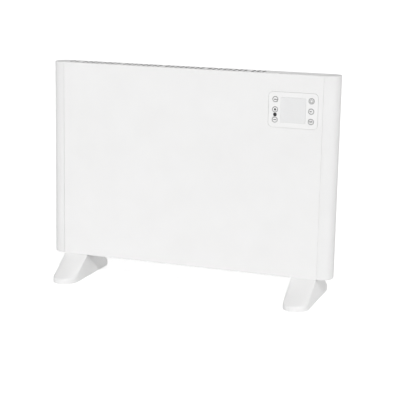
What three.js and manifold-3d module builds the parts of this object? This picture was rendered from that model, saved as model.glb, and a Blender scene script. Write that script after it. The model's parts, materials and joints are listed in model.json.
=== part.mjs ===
// A panel convector heater on two feet, in millimetres. +Z is up and the front faces -Y.
// The origin lies on the floor, under the middle of the body.
//
// The front panel is one folded sheet: front wall, slotted top, slotted base and two rear lips.
// The rear cover closes it, and a moulded cap plugs into each end. The element, its shield and
// the thermal cut-out stand left of a partition, and the electronics stand right of it.

import * as THREE from 'three';
import { mergeVertices } from 'three/addons/utils/BufferGeometryUtils.js';
import Module from 'manifold-3d';

const wasm = await Module();
wasm.setup();

// ---- Driving dimensions -------------------------------------------------------------------

// Body
const panelLength = 584.8;
const bodyHeight = 430.5;
const bodyDepth = 54;
const sheet = 1;
const bendRadius = 2;
const lipDepth = 12;
const clearance = 0.3;

// End caps
const capReach = 29.6;
const capRoundness = 2.4;
const capRise = 0.5;
const capBottomRound = 2;
const capWall = 2.5;
const capRimWidth = 5;
const tongueReach = 6;
const tongueWall = 2;

// Feet
const footHeight = 50;
const footWidth = 54.7;
const footLength = 218;
const footInset = 1;
const footLip = 11.6;
const footShoulder = 7;
const footNose = 26;
const footNoseRoundness = 2.05;
const footEdgeRound = 0.6;
const footRidge = 0.5;
const footGrooveInset = 1;
const footGrooveLength = 5.4;
const footGrooveDepth = 1.9;
const footWall = 3;
const footRib = 2;
const footRibLift = 3;
const footBossRadius = 6;
const footBossDepth = 10;
const footScrewOffset = 14;

// Outlet and intake slots
const slotWidth = 5.3;
const slotLength = 35;
const slotPitch = 11.3;
const slotsPerGroup = 8;
const groupPitch = 97;
const groupOffset = -60;
const outletMargin = 6;
const intakeWidth = 9;
const intakePitch = 20;
const intakeInset = 18;
const intakeMargin = 8;

// Rear louvres
const louvreLength = 46;
const louvreRise = 4;
const louvreSkin = 0.8;
const louvrePitch = 66;
const louvreRowPitch = 14;
const louvreColumns = 5;
const louvreRows = 3;
const louvreHeight = 24;

// Wall keyholes in the rear cover
const keyholeSpacing = 400;
const keyholeDrop = 60;
const keyholeHead = 5.5;
const keyholeNeck = 2.8;
const keyholeTravel = 11;

// Screws
const screwShank = 1.75;
const screwHead = 3.8;
const screwHeadHeight = 2.4;
const screwLength = 12;
const coverScrewX = 170;
const capScrewInset = 1.6;
const capScrewZ = 165;
const capBossRadius = 4;
const capBossDepth = 12;

// Control panel
const controlInset = 10.45;
const controlDrop = 74.3;
const controlWidth = 105.6;
const controlHeight = 73.8;
const controlCorner = 9.5;
const bezelThickness = 2.8;
const bezelFlange = 3;
const keySideMargin = 14.25;
const keyEndMargin = 15.6;
const keyRadius = 6;
const keyProud = 0.2;
const keyTravel = 0.6;
const keySkirt = 1.3;
const keyTab = 1.8;
const keyTabHeight = 5;
const keyStemRadius = 2;
const keyStemLength = 2.6;
const windowSideMargin = 25.65;
const windowEndMargin = 10.6;
const windowCorner = 2;
const windowThickness = 1.8;
const windowLedge = 2;
const eyeRadius = 3.6;
const boardThickness = 1.6;
const boardMargin = 3;
const plugWidth = 24;
const plugHeight = 8;
const plugDepth = 6;
const plugRise = 6;
const switchSide = 6;
const switchHeight = 2.8;
const plungerRadius = 1.5;
const plungerHeight = 0.9;
const postRadius = 2.6;
const postInset = 5.5;

// Heater
const elementInset = 42.4;
const elementMargin = 36;
const elementY = -3;
const elementHeight = 115;
const elementRodRadius = 3.5;
const elementRodOverhang = 18;
const elementHubRadius = 6;
const wingLength = 34;
const wingThickness = 1.8;
const wingAngle = 26;
const wingRibs = 3;
const wingRibHalf = 3.2;
const wingRibThickness = 1.2;
const bracketThickness = 1.2;
const bracketFlange = 16;
const bracketHeight = 56;
const bracketReach = 16;
const bushRadius = 7;
const bushFlange = 9.5;
const bushFlangeThickness = 3;
const shieldStandoff = 7;
const shieldThickness = 0.8;
const shieldBelow = 46;
const shieldAbove = 150;
const shieldFlange = 10;
const cutoutRadius = 8;
const cutoutFlange = 10;
const cutoutDepth = 9;
const cutoutRise = 78;
const cutoutReach = 10;
const cutoutBracketWidth = 26;

// Flat blade terminals
const bladeWidth = 4.8;
const bladeThickness = 0.8;
const bladeLength = 6.5;
const bladePitch = 8;

// Electronics side
const partitionGap = 6.35;
const partitionFlange = 12;
const wireHoleRadius = 8;
const powerBoardWidth = 92;
const powerBoardHeight = 124;
const powerBoardOffset = 2.45;
const powerBoardBase = 155;
const standoffRadius = 3;
const standoffHeight = 12;
const relayWidth = 20;
const relayHeight = 16;
const relayDepth = 15;
const relayGap = 6;
const relayDrop = 8;
const capacitorRadius = 6;
const capacitorHeight = 17;
const capacitorOffset = 20;
const capacitorRise = 32;
const coilSide = 24;
const coilHeight = 18;
const coilOffset = 6;
const coilRise = 18;
const connectorWidth = 40;
const connectorHeight = 10;
const connectorDepth = 9;
const connectorRise = 60;
const terminalWidth = 34;
const terminalHeight = 15;
const terminalDepth = 14;
const terminalOffset = -30.55;
const terminalBase = 22;
const terminalWays = 3;
const terminalBore = 2.6;
const glandOffset = 35.45;
const glandHeight = 32;
const glandBore = 4.25;
const glandNeck = 6.6;
const glandFlange = 9;
const glandNose = 3;
const glandInside = 7;
const sensorInset = 16;
const sensorWidth = 8;
const sensorHeight = 20;
const sensorBead = 2.5;

// Mains rocker switch
const rockerOffset = -14.55;
const rockerHeight = 80;
const rockerRadius = 12.3;
const rockerWidth = 11;
const rockerEndAngle = 28;
const rockerSkirtAngle = 12;
const rockerTilt = 10;
const rockerPivotDepth = 2;
const rockerPinRadius = 1.2;
const rockerPinLength = 1.2;
const switchWall = 1.8;
const switchBezel = 2;
const switchBezelHeight = 2;
const switchDepth = 18;

// Tip-over switch
const tipOffset = 28.45;
const tipPinHeight = 112;
const tipWidth = 20;
const tipPlate = 1.2;
const tipFront = 9;
const tipBelow = 34;
const tipAbove = 8;
const tipPinRadius = 2;
const tipHubRadius = 4.5;
const tipHubWidth = 12;
const tipArmLength = 22;
const tipArmWidth = 4;
const tipWeightRadius = 7;
const microswitchDepth = 12;
const microswitchHeight = 9;

// ---- Places worked out from them ----------------------------------------------------------

const seam = panelLength / 2;
const front = -bodyDepth / 2;
const rear = bodyDepth / 2;
const base = footHeight;
const top = footHeight + bodyHeight;
const insideFront = front + sheet;
const insideRear = rear - sheet;
const insideBase = base + sheet;
const insideTop = top - sheet;
const lipRear = insideRear - clearance;
const lipFront = lipRear - sheet;
const panelEnd = seam - clearance;
const footX = seam - footInset - footWidth / 2;
const footTop = base - clearance;
const capScrewX = panelEnd - tongueReach - capScrewInset;
const capScrewHeights = [base + bodyHeight / 2 - capScrewZ, base + bodyHeight / 2 + capScrewZ];
const lipScrewHeights = [base + lipDepth / 2 + 0.5, top - lipDepth / 2 - 0.5];
const screwHole = screwShank + clearance;
const controlX = seam - controlInset - controlWidth / 2;
const controlZ = top - controlDrop;
const keyColumn = controlWidth / 2 - keySideMargin;
const keyPitch = controlHeight / 2 - keyEndMargin;
const windowWidth = controlWidth - 2 * windowSideMargin;
const windowHeight = controlHeight - 2 * windowEndMargin;
const partitionX = controlX - controlWidth / 2 - bezelFlange - partitionGap - sheet;
const bezelRear = front + bezelThickness;
const keyFlangeFront = bezelRear + clearance;
const keyFlangeRear = keyFlangeFront + keySkirt;
const keyStemEnd = keyFlangeRear + keyStemLength;
const plungerFront = keyStemEnd + keyTravel + clearance;
const boardFront = plungerFront + plungerHeight + switchHeight;
const elementZ = base + elementHeight;
const elementLeft = elementInset - seam;
const elementRight = partitionX - elementMargin;
const elementCentreX = (elementLeft + elementRight) / 2;
const outletLeft = tongueReach - panelEnd;
const outletRight = partitionX - outletMargin;
const intakeLeft = elementLeft + intakeInset;
const intakeRight = partitionX - intakeMargin;
const shieldFront = insideRear - clearance - shieldStandoff;
const cutoutZ = elementZ + cutoutRise;
const cutoutFace = shieldFront - clearance - cutoutReach;
const bayCentre = (partitionX + sheet + panelEnd - tongueReach) / 2;
const powerBoardX = bayCentre + powerBoardOffset;
const powerBoardZ = base + powerBoardBase + powerBoardHeight / 2;
const powerBoardRear = insideRear - standoffHeight - clearance;
const powerBoardFront = powerBoardRear - boardThickness;
const terminalX = bayCentre + terminalOffset;
const glandX = bayCentre + glandOffset;
const glandZ = base + glandHeight;
const sensorX = partitionX + sensorInset;
const rockerX = bayCentre + rockerOffset;
const rockerZ = base + rockerHeight;
const rockerY = rear + switchBezelHeight - rockerPivotDepth;
const tipX = bayCentre + tipOffset;
const tipPinZ = base + tipPinHeight;
const tipRear = insideRear - clearance;

// ---- Solids -------------------------------------------------------------------------------

// Turns a closed geometry into a solid that can be joined and cut.
function solidOf(geometry) {
  const bare = geometry.clone();
  bare.deleteAttribute('normal');
  bare.deleteAttribute('uv');
  const merged = mergeVertices(bare, 1e-4);
  const index = merged.index.array;
  const triangles = [];
  for (let i = 0; i < index.length; i += 3) {
    const [a, b, c] = [index[i], index[i + 1], index[i + 2]];
    if (a !== b && b !== c && c !== a) triangles.push(a, b, c);
  }
  return new wasm.Manifold(new wasm.Mesh({
    numProp: 3,
    vertProperties: new Float32Array(merged.attributes.position.array),
    triVerts: new Uint32Array(triangles),
  }));
}

// Turns a solid back into a geometry.
function geometryOf(solid) {
  const mesh = solid.getMesh();
  const geometry = new THREE.BufferGeometry();
  geometry.setAttribute('position', new THREE.BufferAttribute(mesh.vertProperties, 3));
  geometry.setIndex(new THREE.BufferAttribute(mesh.triVerts, 1));
  geometry.computeVertexNormals();
  return geometry;
}

function join(solids) {
  return solids.reduce((sum, next) => sum.add(next));
}

function cut(solid, cutters) {
  return cutters.length === 0 ? solid : solid.subtract(join(cutters));
}

// A block between two corners; the two values of a pair may come in either order.
function block([xa, xb], [ya, yb], [za, zb]) {
  const geometry = new THREE.BoxGeometry(Math.abs(xb - xa), Math.abs(yb - ya), Math.abs(zb - za));
  geometry.translate((xa + xb) / 2, (ya + yb) / 2, (za + zb) / 2);
  return solidOf(geometry);
}

function extrude(outline, depth, holes = []) {
  const shape = new THREE.Shape(outline);
  for (const hole of holes) shape.holes.push(new THREE.Path(hole));
  return new THREE.ExtrudeGeometry(shape, { depth, bevelEnabled: false });
}

// An outline in (Y, Z) swept along X.
function sweepX(outline, xa, xb, holes = []) {
  const geometry = extrude(outline, Math.abs(xb - xa), holes);
  const start = Math.min(xa, xb);
  geometry.applyMatrix4(new THREE.Matrix4().set(0, 0, 1, start, 1, 0, 0, 0, 0, 1, 0, 0, 0, 0, 0, 1));
  return solidOf(geometry);
}

// An outline in (X, Z) swept along Y.
function sweepY(outline, ya, yb, holes = []) {
  const geometry = extrude(outline, Math.abs(yb - ya), holes);
  geometry.rotateX(Math.PI / 2);
  geometry.translate(0, Math.max(ya, yb), 0);
  return solidOf(geometry);
}

// An outline in (X, Y) swept along Z.
function sweepZ(outline, za, zb, holes = []) {
  const geometry = extrude(outline, Math.abs(zb - za), holes);
  geometry.translate(0, 0, Math.min(za, zb));
  return solidOf(geometry);
}

// A profile of (radius, distance) turned about the Y axis. With reach 1 the distance runs to +Y.
function turnY(profile, segments, [x, y, z]) {
  const geometry = new THREE.LatheGeometry(profile.map(([r, d]) => new THREE.Vector2(r, d)), segments);
  geometry.translate(x, y, z);
  return solidOf(geometry);
}

// The same, turned about the X axis.
function turnX(profile, segments, [x, y, z]) {
  const geometry = new THREE.LatheGeometry(profile.map(([r, d]) => new THREE.Vector2(r, d)), segments);
  geometry.rotateZ(-Math.PI / 2);
  geometry.translate(x, y, z);
  return solidOf(geometry);
}

// ---- Outlines -----------------------------------------------------------------------------

function arc(cx, cy, rx, ry, from, to, steps) {
  const points = [];
  for (let i = 0; i <= steps; i += 1) {
    const angle = THREE.MathUtils.degToRad(from + (to - from) * i / steps);
    points.push(new THREE.Vector2(cx + rx * Math.cos(angle), cy + ry * Math.sin(angle)));
  }
  return points;
}

function circle(cx, cy, radius, steps = 24) {
  return arc(cx, cy, radius, radius, 0, 360, steps).slice(0, -1);
}

function rectangle(cx, cy, width, height) {
  return [[-1, -1], [1, -1], [1, 1], [-1, 1]].map(
    ([sx, sy]) => new THREE.Vector2(cx + sx * width / 2, cy + sy * height / 2));
}

function roundedRectangle(cx, cy, width, height, radius, steps = 4) {
  const x = width / 2 - radius;
  const y = height / 2 - radius;
  return [
    ...arc(cx + x, cy - y, radius, radius, -90, 0, steps),
    ...arc(cx + x, cy + y, radius, radius, 0, 90, steps),
    ...arc(cx - x, cy + y, radius, radius, 90, 180, steps),
    ...arc(cx - x, cy - y, radius, radius, 180, 270, steps),
  ];
}

// A slot with round ends, long in its second coordinate.
function slot(cx, cy, width, length, steps = 4) {
  const reach = (length - width) / 2;
  return [
    ...arc(cx, cy + reach, width / 2, width / 2, 0, 180, steps),
    ...arc(cx, cy - reach, width / 2, width / 2, 180, 360, steps),
  ];
}

// Rounds the corners of a closed outline. A corner is [x, y, radius]; radius 0 stays sharp.
function roundCorners(corners, steps = 4) {
  const points = [];
  corners.forEach(([x, y, radius], i) => {
    const corner = new THREE.Vector2(x, y);
    const [px, py] = corners[(i + corners.length - 1) % corners.length];
    const [nx, ny] = corners[(i + 1) % corners.length];
    const back = new THREE.Vector2(px - x, py - y).normalize();
    const ahead = new THREE.Vector2(nx - x, ny - y).normalize();
    if (!radius) {
      points.push(corner);
      return;
    }
    const halfAngle = Math.acos(THREE.MathUtils.clamp(back.dot(ahead), -1, 1)) / 2;
    const start = back.clone().multiplyScalar(radius / Math.tan(halfAngle)).add(corner);
    const end = ahead.clone().multiplyScalar(radius / Math.tan(halfAngle)).add(corner);
    const middle = back.clone().add(ahead).normalize()
      .multiplyScalar(radius / Math.sin(halfAngle)).add(corner);
    const from = Math.atan2(start.y - middle.y, start.x - middle.x);
    let sweep = Math.atan2(end.y - middle.y, end.x - middle.x) - from;
    if (sweep > Math.PI) sweep -= 2 * Math.PI;
    if (sweep < -Math.PI) sweep += 2 * Math.PI;
    for (let k = 0; k <= steps; k += 1) {
      const angle = from + sweep * k / steps;
      points.push(new THREE.Vector2(
        middle.x + radius * Math.cos(angle), middle.y + radius * Math.sin(angle)));
    }
  });
  return points;
}

// A quarter of a superellipse as a unit curve: 0 degrees lies on x, 90 degrees on y.
function superPoint(degrees, roundness) {
  const angle = THREE.MathUtils.degToRad(degrees);
  const power = 2 / roundness;
  const shaped = (value) => Math.sign(value) * Math.abs(value) ** power;
  return [shaped(Math.cos(angle)), shaped(Math.sin(angle))];
}

// A closed skin through rings of points, from the lowest ring to the highest.
function loft(rings) {
  const clockwise = THREE.ShapeUtils.isClockWise(rings[0]);
  const ordered = clockwise ? rings.map((ring) => [...ring].reverse()) : rings;
  const count = ordered[0].length;
  const positions = ordered.flat().flatMap((point) => [point.x, point.y, point.z]);
  const index = [];
  for (let level = 0; level < ordered.length - 1; level += 1) {
    for (let i = 0; i < count; i += 1) {
      const a = level * count + i;
      const b = level * count + (i + 1) % count;
      index.push(a, b, b + count, a, b + count, a + count);
    }
  }
  const last = (ordered.length - 1) * count;
  for (const [a, b, c] of THREE.ShapeUtils.triangulateShape(ordered[0], [])) index.push(a, c, b);
  for (const [a, b, c] of THREE.ShapeUtils.triangulateShape(ordered.at(-1), [])) {
    index.push(last + a, last + b, last + c);
  }
  const geometry = new THREE.BufferGeometry();
  geometry.setAttribute('position', new THREE.Float32BufferAttribute(positions, 3));
  geometry.setIndex(index);
  return solidOf(geometry);
}

// ---- Casing -------------------------------------------------------------------------------

// Slot centres along X: groups of slots, with a wider bar between groups.
function slotCentres(left, right) {
  const centres = [];
  const groups = Math.ceil(panelLength / groupPitch);
  for (let group = -groups; group <= groups; group += 1) {
    for (let i = 0; i < slotsPerGroup; i += 1) {
      const x = groupOffset + group * groupPitch + i * slotPitch;
      if (x - slotWidth / 2 > left && x + slotWidth / 2 < right) centres.push(x);
    }
  }
  return centres;
}

function intakeCentres() {
  const count = Math.floor((intakeRight - intakeLeft - intakeWidth) / intakePitch) + 1;
  return Array.from({ length: count }, (_, i) => intakeLeft + intakeWidth / 2 + i * intakePitch);
}

// Cross-section of the folded sheet in (Y, Z), from the top lip round the front to the base lip.
function panelSection() {
  const inner = bendRadius - sheet;
  return roundCorners([
    [lipRear, top - lipDepth, 0],
    [lipRear, top, bendRadius],
    [front, top, bendRadius],
    [front, base, bendRadius],
    [lipRear, base, bendRadius],
    [lipRear, base + lipDepth, 0],
    [lipFront, base + lipDepth, 0],
    [lipFront, insideBase, inner],
    [insideFront, insideBase, inner],
    [insideFront, insideTop, inner],
    [lipFront, insideTop, inner],
    [lipFront, top - lipDepth, 0],
  ]);
}

function footScrewPlaces() {
  return [-footX, footX].flatMap((x) => [-footScrewOffset, footScrewOffset].map((y) => [x, y]));
}

function frontPanel() {
  const sheetBody = sweepX(panelSection(), -panelEnd, panelEnd);
  const outlet = slotCentres(outletLeft, outletRight).map(
    (x) => sweepZ(slot(x, 0, slotWidth, slotLength), insideTop - sheet, top + sheet));
  const intake = intakeCentres().map(
    (x) => sweepZ(slot(x, 0, intakeWidth, slotLength), base - sheet, insideBase + sheet));
  const controlHole = sweepY(roundedRectangle(controlX, controlZ, controlWidth + 2 * clearance,
    controlHeight + 2 * clearance, controlCorner + clearance, 6), front - sheet, insideFront + sheet);
  const footHoles = footScrewPlaces().map(
    ([x, y]) => sweepZ(circle(x, y, screwHole, 10), base - sheet, insideBase + sheet));
  const lipHoles = [-coverScrewX, coverScrewX].flatMap((x) => lipScrewHeights.map(
    (z) => sweepY(circle(x, z, screwHole, 10), lipFront - sheet, lipRear + sheet)));
  return cut(sheetBody, [...outlet, ...intake, controlHole, ...footHoles, ...lipHoles]);
}

// A pressed louvre: a long half dome that stands out of the cover and opens downwards.
function louvreDome(x, z, radius, halfLength) {
  const straight = halfLength - radius;
  const endSteps = 2;
  const profile = [];
  for (let i = 0; i <= endSteps; i += 1) {
    const angle = Math.PI / 2 * i / endSteps;
    profile.push([radius * Math.sin(angle), -straight - radius * Math.cos(angle)]);
  }
  for (let i = endSteps; i >= 0; i -= 1) {
    const angle = Math.PI / 2 * i / endSteps;
    profile.push([radius * Math.sin(angle), straight + radius * Math.cos(angle)]);
  }
  profile[0][0] = 0;
  profile.at(-1)[0] = 0;
  return turnX(profile, 10, [x, insideRear, z]);
}

function louvrePlaces() {
  const places = [];
  for (let column = 0; column < louvreColumns; column += 1) {
    for (let row = 0; row < louvreRows; row += 1) {
      const x = elementCentreX + (column - (louvreColumns - 1) / 2) * louvrePitch;
      places.push([x, base + louvreHeight + row * louvreRowPitch]);
    }
  }
  return places;
}

function keyhole(x, z) {
  const reach = insideRear - sheet;
  return join([
    sweepY(circle(x, z, keyholeHead), reach, rear + sheet),
    sweepY(slot(x, z + keyholeTravel / 2, 2 * keyholeNeck, keyholeTravel + 2 * keyholeNeck),
      reach, rear + sheet),
  ]);
}

function powerBoardCorners() {
  const x = powerBoardWidth / 2 - 2 * standoffRadius;
  const z = powerBoardHeight / 2 - 2 * standoffRadius;
  return [[-x, -z], [x, -z], [-x, z], [x, z]].map(([dx, dz]) => [powerBoardX + dx, powerBoardZ + dz]);
}

function rearCover() {
  const plate = sweepY(roundedRectangle(0, (base + top) / 2, 2 * panelEnd,
    bodyHeight - 2 * clearance, bendRadius), insideRear, rear);
  const outside = (z) => block([-seam, seam], [insideRear, rear + 2 * louvreRise],
    [z, z + 2 * louvreRise]);
  const domes = louvrePlaces().map(([x, z]) => louvreDome(
    x, z, louvreRise + sheet, louvreLength / 2).intersect(outside(z)));
  const hollows = louvrePlaces().map(([x, z]) => louvreDome(
    x, z, louvreRise + sheet - louvreSkin, louvreLength / 2 - louvreSkin)
    .intersect(block([-seam, seam], [insideRear - sheet, rear + 2 * louvreRise],
      [z - louvreSkin, z + 2 * louvreRise])));
  const standoffs = powerBoardCorners().map(([x, z]) => sweepY(
    circle(x, z, standoffRadius, 12), insideRear - standoffHeight, insideRear + sheet / 2));
  const screwHoles = [
    ...[-coverScrewX, coverScrewX].flatMap((x) => lipScrewHeights.map((z) => [x, z])),
    ...[-capScrewX, capScrewX].flatMap((x) => capScrewHeights.map((z) => [x, z])),
  ].map(([x, z]) => sweepY(circle(x, z, screwHole, 10), insideRear - sheet, rear + sheet));
  const keyholes = [-1, 1].map((side) => keyhole(side * keyholeSpacing / 2, top - keyholeDrop));
  const glandHole = sweepY(circle(glandX, glandZ, glandNeck + clearance), insideRear - sheet, rear + sheet);
  const switchHole = sweepY(rectangle(rockerX, rockerZ,
    switchBodyWidth() + 2 * clearance, switchBodyLength() + 2 * clearance), insideRear - sheet, rear + sheet);
  const body = join([plate, ...domes, ...standoffs]);
  return cut(body, [...hollows, ...screwHoles, ...keyholes, glandHole, switchHole]);
}

// ---- End caps -----------------------------------------------------------------------------

// One ring of the cap's plan: a D from the seam to the tip, drawn in by inset.
function capRing(side, inset, z, steps) {
  const ring = [];
  for (let i = 0; i <= steps; i += 1) {
    const [x, y] = superPoint(-90 + 180 * i / steps, capRoundness);
    ring.push(new THREE.Vector3(
      side * (seam + (capReach - inset) * x), (bodyDepth / 2 - inset) * y, z));
  }
  return ring;
}

function capShell(side, wall, low, high, lowRound, highRound, planSteps, roundSteps) {
  const rings = [];
  for (let i = 0; i <= roundSteps; i += 1) {
    const angle = Math.PI / 2 * i / roundSteps;
    const inset = wall + lowRound * (1 - Math.sin(angle));
    rings.push(capRing(side, inset, low + lowRound * (1 - Math.cos(angle)), planSteps));
  }
  for (let i = 0; i <= roundSteps; i += 1) {
    const angle = Math.PI / 2 * i / roundSteps;
    const inset = wall + highRound * (1 - Math.cos(angle));
    rings.push(capRing(side, inset, high - highRound * (1 - Math.sin(angle)), planSteps));
  }
  return loft(rings);
}

function endCap(side) {
  const low = base + capRise;
  const outer = capShell(side, 0, low, top, capBottomRound, bendRadius, 18, 3);
  const inner = capShell(side, capWall, low + capWall, top - capWall, 1, 1, 10, 1);
  const open = block([0, side * (seam + capWall)], [front + capRimWidth, rear - capRimWidth],
    [low + capRimWidth, top - capRimWidth]);
  const deepInside = inner.intersect(
    block([side * (seam + capWall), side * (seam + capReach)], [front, rear], [low, top]));
  const tongueFront = insideFront + clearance;
  const tongueRear = lipFront - clearance;
  const tongueLow = insideBase + clearance;
  const tongueHigh = insideTop - clearance;
  const tongueMiddle = [(tongueFront + tongueRear) / 2, (tongueLow + tongueHigh) / 2];
  const tongueSize = [tongueRear - tongueFront, tongueHigh - tongueLow];
  const boreSize = tongueSize.map((size) => size - 2 * tongueWall);
  const tongueBore = roundedRectangle(...tongueMiddle, ...boreSize, 1, 2);
  const tongue = sweepX(roundedRectangle(...tongueMiddle, ...tongueSize, bendRadius),
    side * (panelEnd - tongueReach), side * (seam + 1), [tongueBore]);
  const bossEnd = tongueRear;
  const bosses = capScrewHeights.map((z) => join([
    sweepY(circle(side * capScrewX, z, capBossRadius, 12), bossEnd - capBossDepth, bossEnd),
    block([side * capScrewX, side * (seam + 1)], [bossEnd - capBossDepth, bossEnd],
      [z - tongueWall / 2, z + tongueWall / 2]),
  ]));
  const pilots = capScrewHeights.map((z) => sweepY(
    circle(side * capScrewX, z, screwHole, 10), bossEnd - capBossDepth + tongueWall, bossEnd + sheet));
  const shell = cut(outer, [deepInside, open]);
  return cut(join([shell, tongue, ...bosses]), pilots);
}

// ---- Feet ---------------------------------------------------------------------------------

// One ring of the foot's plan. The nose is the curve at floor level; rise 1 is the flat top,
// where the nose is drawn back to the face of the body along straight lines.
function footRing(inset, rise, z, noseSteps) {
  const halfWidth = footWidth / 2 - inset;
  const noseStart = footLength / 2 - footNose;
  const drawnTo = bodyDepth / 2 - inset;
  const ring = [];
  for (const end of [1, -1]) {
    for (let i = 0; i <= 2 * noseSteps; i += 1) {
      const [x, y] = superPoint(90 * i / noseSteps, footNoseRoundness);
      const full = noseStart + (footNose - inset) * y;
      ring.push(new THREE.Vector3(end * halfWidth * x, end * (full + (drawnTo - full) * rise), z));
    }
  }
  return ring;
}

// The foot's skin: a small round at the floor, the lip, a rounded shoulder and the long slope.
function footBody(inset, low, lip, high, edge, ridge, noseSteps, shoulderSteps) {
  const run = (footLength - bodyDepth) / 2;
  const turn = Math.PI / 2 - Math.atan2(high - lip, run);
  const shoulderStart = lip - footShoulder * Math.tan(turn / 2);
  const rings = [
    footRing(inset + edge, 0, low, noseSteps),
    footRing(inset, 0, low + edge, noseSteps),
  ];
  for (let i = 0; i <= shoulderSteps; i += 1) {
    const angle = turn * i / shoulderSteps;
    const drawn = footShoulder * (1 - Math.cos(angle));
    rings.push(footRing(inset, drawn / run, shoulderStart + footShoulder * Math.sin(angle), noseSteps));
  }
  rings.push(footRing(inset, 1 + ridge / (high - lip), high + ridge, noseSteps));
  return loft(rings);
}

// The space that the body takes above the foot, with its clearance: round at the front bend.
function footSeat() {
  return sweepX(roundCorners([
    [front - clearance, base - clearance, bendRadius + clearance],
    [rear + clearance, base - clearance, 0],
    [rear + clearance, top, 0],
    [front - clearance, top, 0],
  ]), -footWidth, footWidth);
}

function foot() {
  const outer = footBody(0, 0, footLip, footTop, footEdgeRound, footRidge, 8, 3);
  const hollow = footBody(footWall, -footWall, footLip - footWall / 2, footTop - footWall, 0.2, 0, 4, 1);
  const midWall = footBody(footWall / 2, 0, footLip - footWall / 4, footTop - footWall / 2, 0.2, 0, 4, 1);
  const grooveFront = front + footGrooveInset;
  const groove = block([-footWidth, footWidth], [grooveFront, grooveFront + footGrooveLength],
    [footTop - footGrooveDepth, top]);
  const crossRibs = [-1, 1].flatMap((end) => [bodyDepth / 2, footLength / 2 - footNose].map(
    (y) => block([-footWidth / 2, footWidth / 2], [end * y - footRib / 2, end * y + footRib / 2],
      [footRibLift, footHeight])));
  const spine = block([-footRib / 2, footRib / 2], [-footLength / 2, footLength / 2],
    [footRibLift, footHeight]);
  const bosses = [-footScrewOffset, footScrewOffset].map((y) => sweepZ(
    circle(0, y, footBossRadius, 12), footTop - footBossDepth, footTop - footWall / 2));
  const ribs = cut(join([spine, ...crossRibs]), [-footScrewOffset, footScrewOffset].map(
    (y) => sweepZ(circle(0, y, screwHead + 1, 10), 0, footTop - footBossDepth)));
  const holes = [-footScrewOffset, footScrewOffset].map((y) => sweepZ(
    circle(0, y, screwHole, 10), footTop - footBossDepth - 1, footTop + 1));
  const shell = cut(outer, [hollow]);
  return cut(join([shell, ribs.intersect(midWall), ...bosses]), [...holes, groove, footSeat()]);
}

// ---- Fasteners ----------------------------------------------------------------------------

// A pan head screw: its seat is at the origin and its shank runs to -Y.
function screw(length) {
  return turnY([
    [0, -length],
    [screwShank, -length + 2],
    [screwShank, 0],
    [screwHead, 0],
    [screwHead, screwHeadHeight * 0.45],
    [screwHead * 0.72, screwHeadHeight],
    [0, screwHeadHeight],
  ], 8, [0, 0, 0]);
}

// ---- Control panel ------------------------------------------------------------------------

const keyPlaces = {
  key_mode: [-1, 1],
  key_plus: [-1, 0],
  key_minus: [-1, -1],
  key_power: [1, 1],
  key_timer: [1, 0],
  key_heat: [1, -1],
};

function keyCentre([column, row]) {
  return [controlX + column * keyColumn, controlZ + row * keyPitch];
}

function eyeCentre() {
  return [controlX - keyColumn, controlZ - keyPitch / 2];
}

function postPlaces() {
  const x = controlWidth / 2 - postInset;
  const z = controlHeight / 2 - postInset;
  return [[-x, -z], [x, -z], [-x, z], [x, z]].map(([dx, dz]) => [controlX + dx, controlZ + dz]);
}

function controlBezel() {
  const face = sweepY(roundedRectangle(controlX, controlZ, controlWidth, controlHeight, controlCorner, 6),
    front, bezelRear);
  const flange = sweepY(roundedRectangle(controlX, controlZ, controlWidth + 2 * bezelFlange,
    controlHeight + 2 * bezelFlange, controlCorner + bezelFlange, 6),
    insideFront + clearance, bezelRear);
  const posts = postPlaces().map(([x, z]) => sweepY(
    circle(x, z, postRadius, 8), bezelRear - 1, boardFront - clearance));
  const keyHoles = Object.values(keyPlaces).map((place) => sweepY(
    circle(...keyCentre(place), keyRadius + clearance, 16), front - 1, bezelRear + 1));
  const eyeHole = sweepY(circle(...eyeCentre(), eyeRadius + clearance, 20), front - 1, bezelRear + 1);
  const recess = sweepY(roundedRectangle(controlX, controlZ, windowWidth, windowHeight, windowCorner),
    front - 1, front + windowThickness + clearance);
  const sight = sweepY(rectangle(controlX, controlZ,
    windowWidth - 2 * windowLedge, windowHeight - 2 * windowLedge), front, bezelRear + 1);
  return cut(join([face, flange, ...posts]), [...keyHoles, eyeHole, recess, sight]);
}

function displayWindow() {
  return sweepY(roundedRectangle(controlX, controlZ, windowWidth - 2 * clearance,
    windowHeight - 2 * clearance, windowCorner - clearance), front, front + windowThickness);
}

function displayModule() {
  const width = windowWidth - 2 * windowLedge - 1;
  const height = windowHeight - 2 * windowLedge - 1;
  const glass = block([controlX - width / 2, controlX + width / 2],
    [front + windowThickness + 2 * clearance, bezelRear + 1],
    [controlZ - height / 2, controlZ + height / 2]);
  const frame = block([controlX - width / 2, controlX + width / 2],
    [bezelRear + 1, boardFront - clearance], [controlZ - height / 2, controlZ + height / 2]);
  return join([glass, frame]);
}

function infraredWindow() {
  const [x, z] = eyeCentre();
  return turnY([
    [0, 0], [eyeRadius - 0.3, 0], [eyeRadius, 0.3],
    [eyeRadius, boardFront - clearance - front], [0, boardFront - clearance - front],
  ], 20, [x, front, z]);
}

// A round key cap in its own frame: the origin is on its axis in the plane of the panel's face.
function key() {
  const cap = turnY([
    [0, -keyProud], [keyRadius - 0.5, -keyProud], [keyRadius, 0.3 - keyProud],
    [keyRadius, keyFlangeRear - front], [keyStemRadius, keyFlangeRear - front],
    [keyStemRadius, keyStemEnd - front], [0, keyStemEnd - front],
  ], 16, [0, 0, 0]);
  const tabs = block([-keyRadius - keyTab, keyRadius + keyTab],
    [keyFlangeFront - front, keyFlangeRear - front], [-keyTabHeight / 2, keyTabHeight / 2]);
  return join([cap, tabs]);
}

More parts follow.
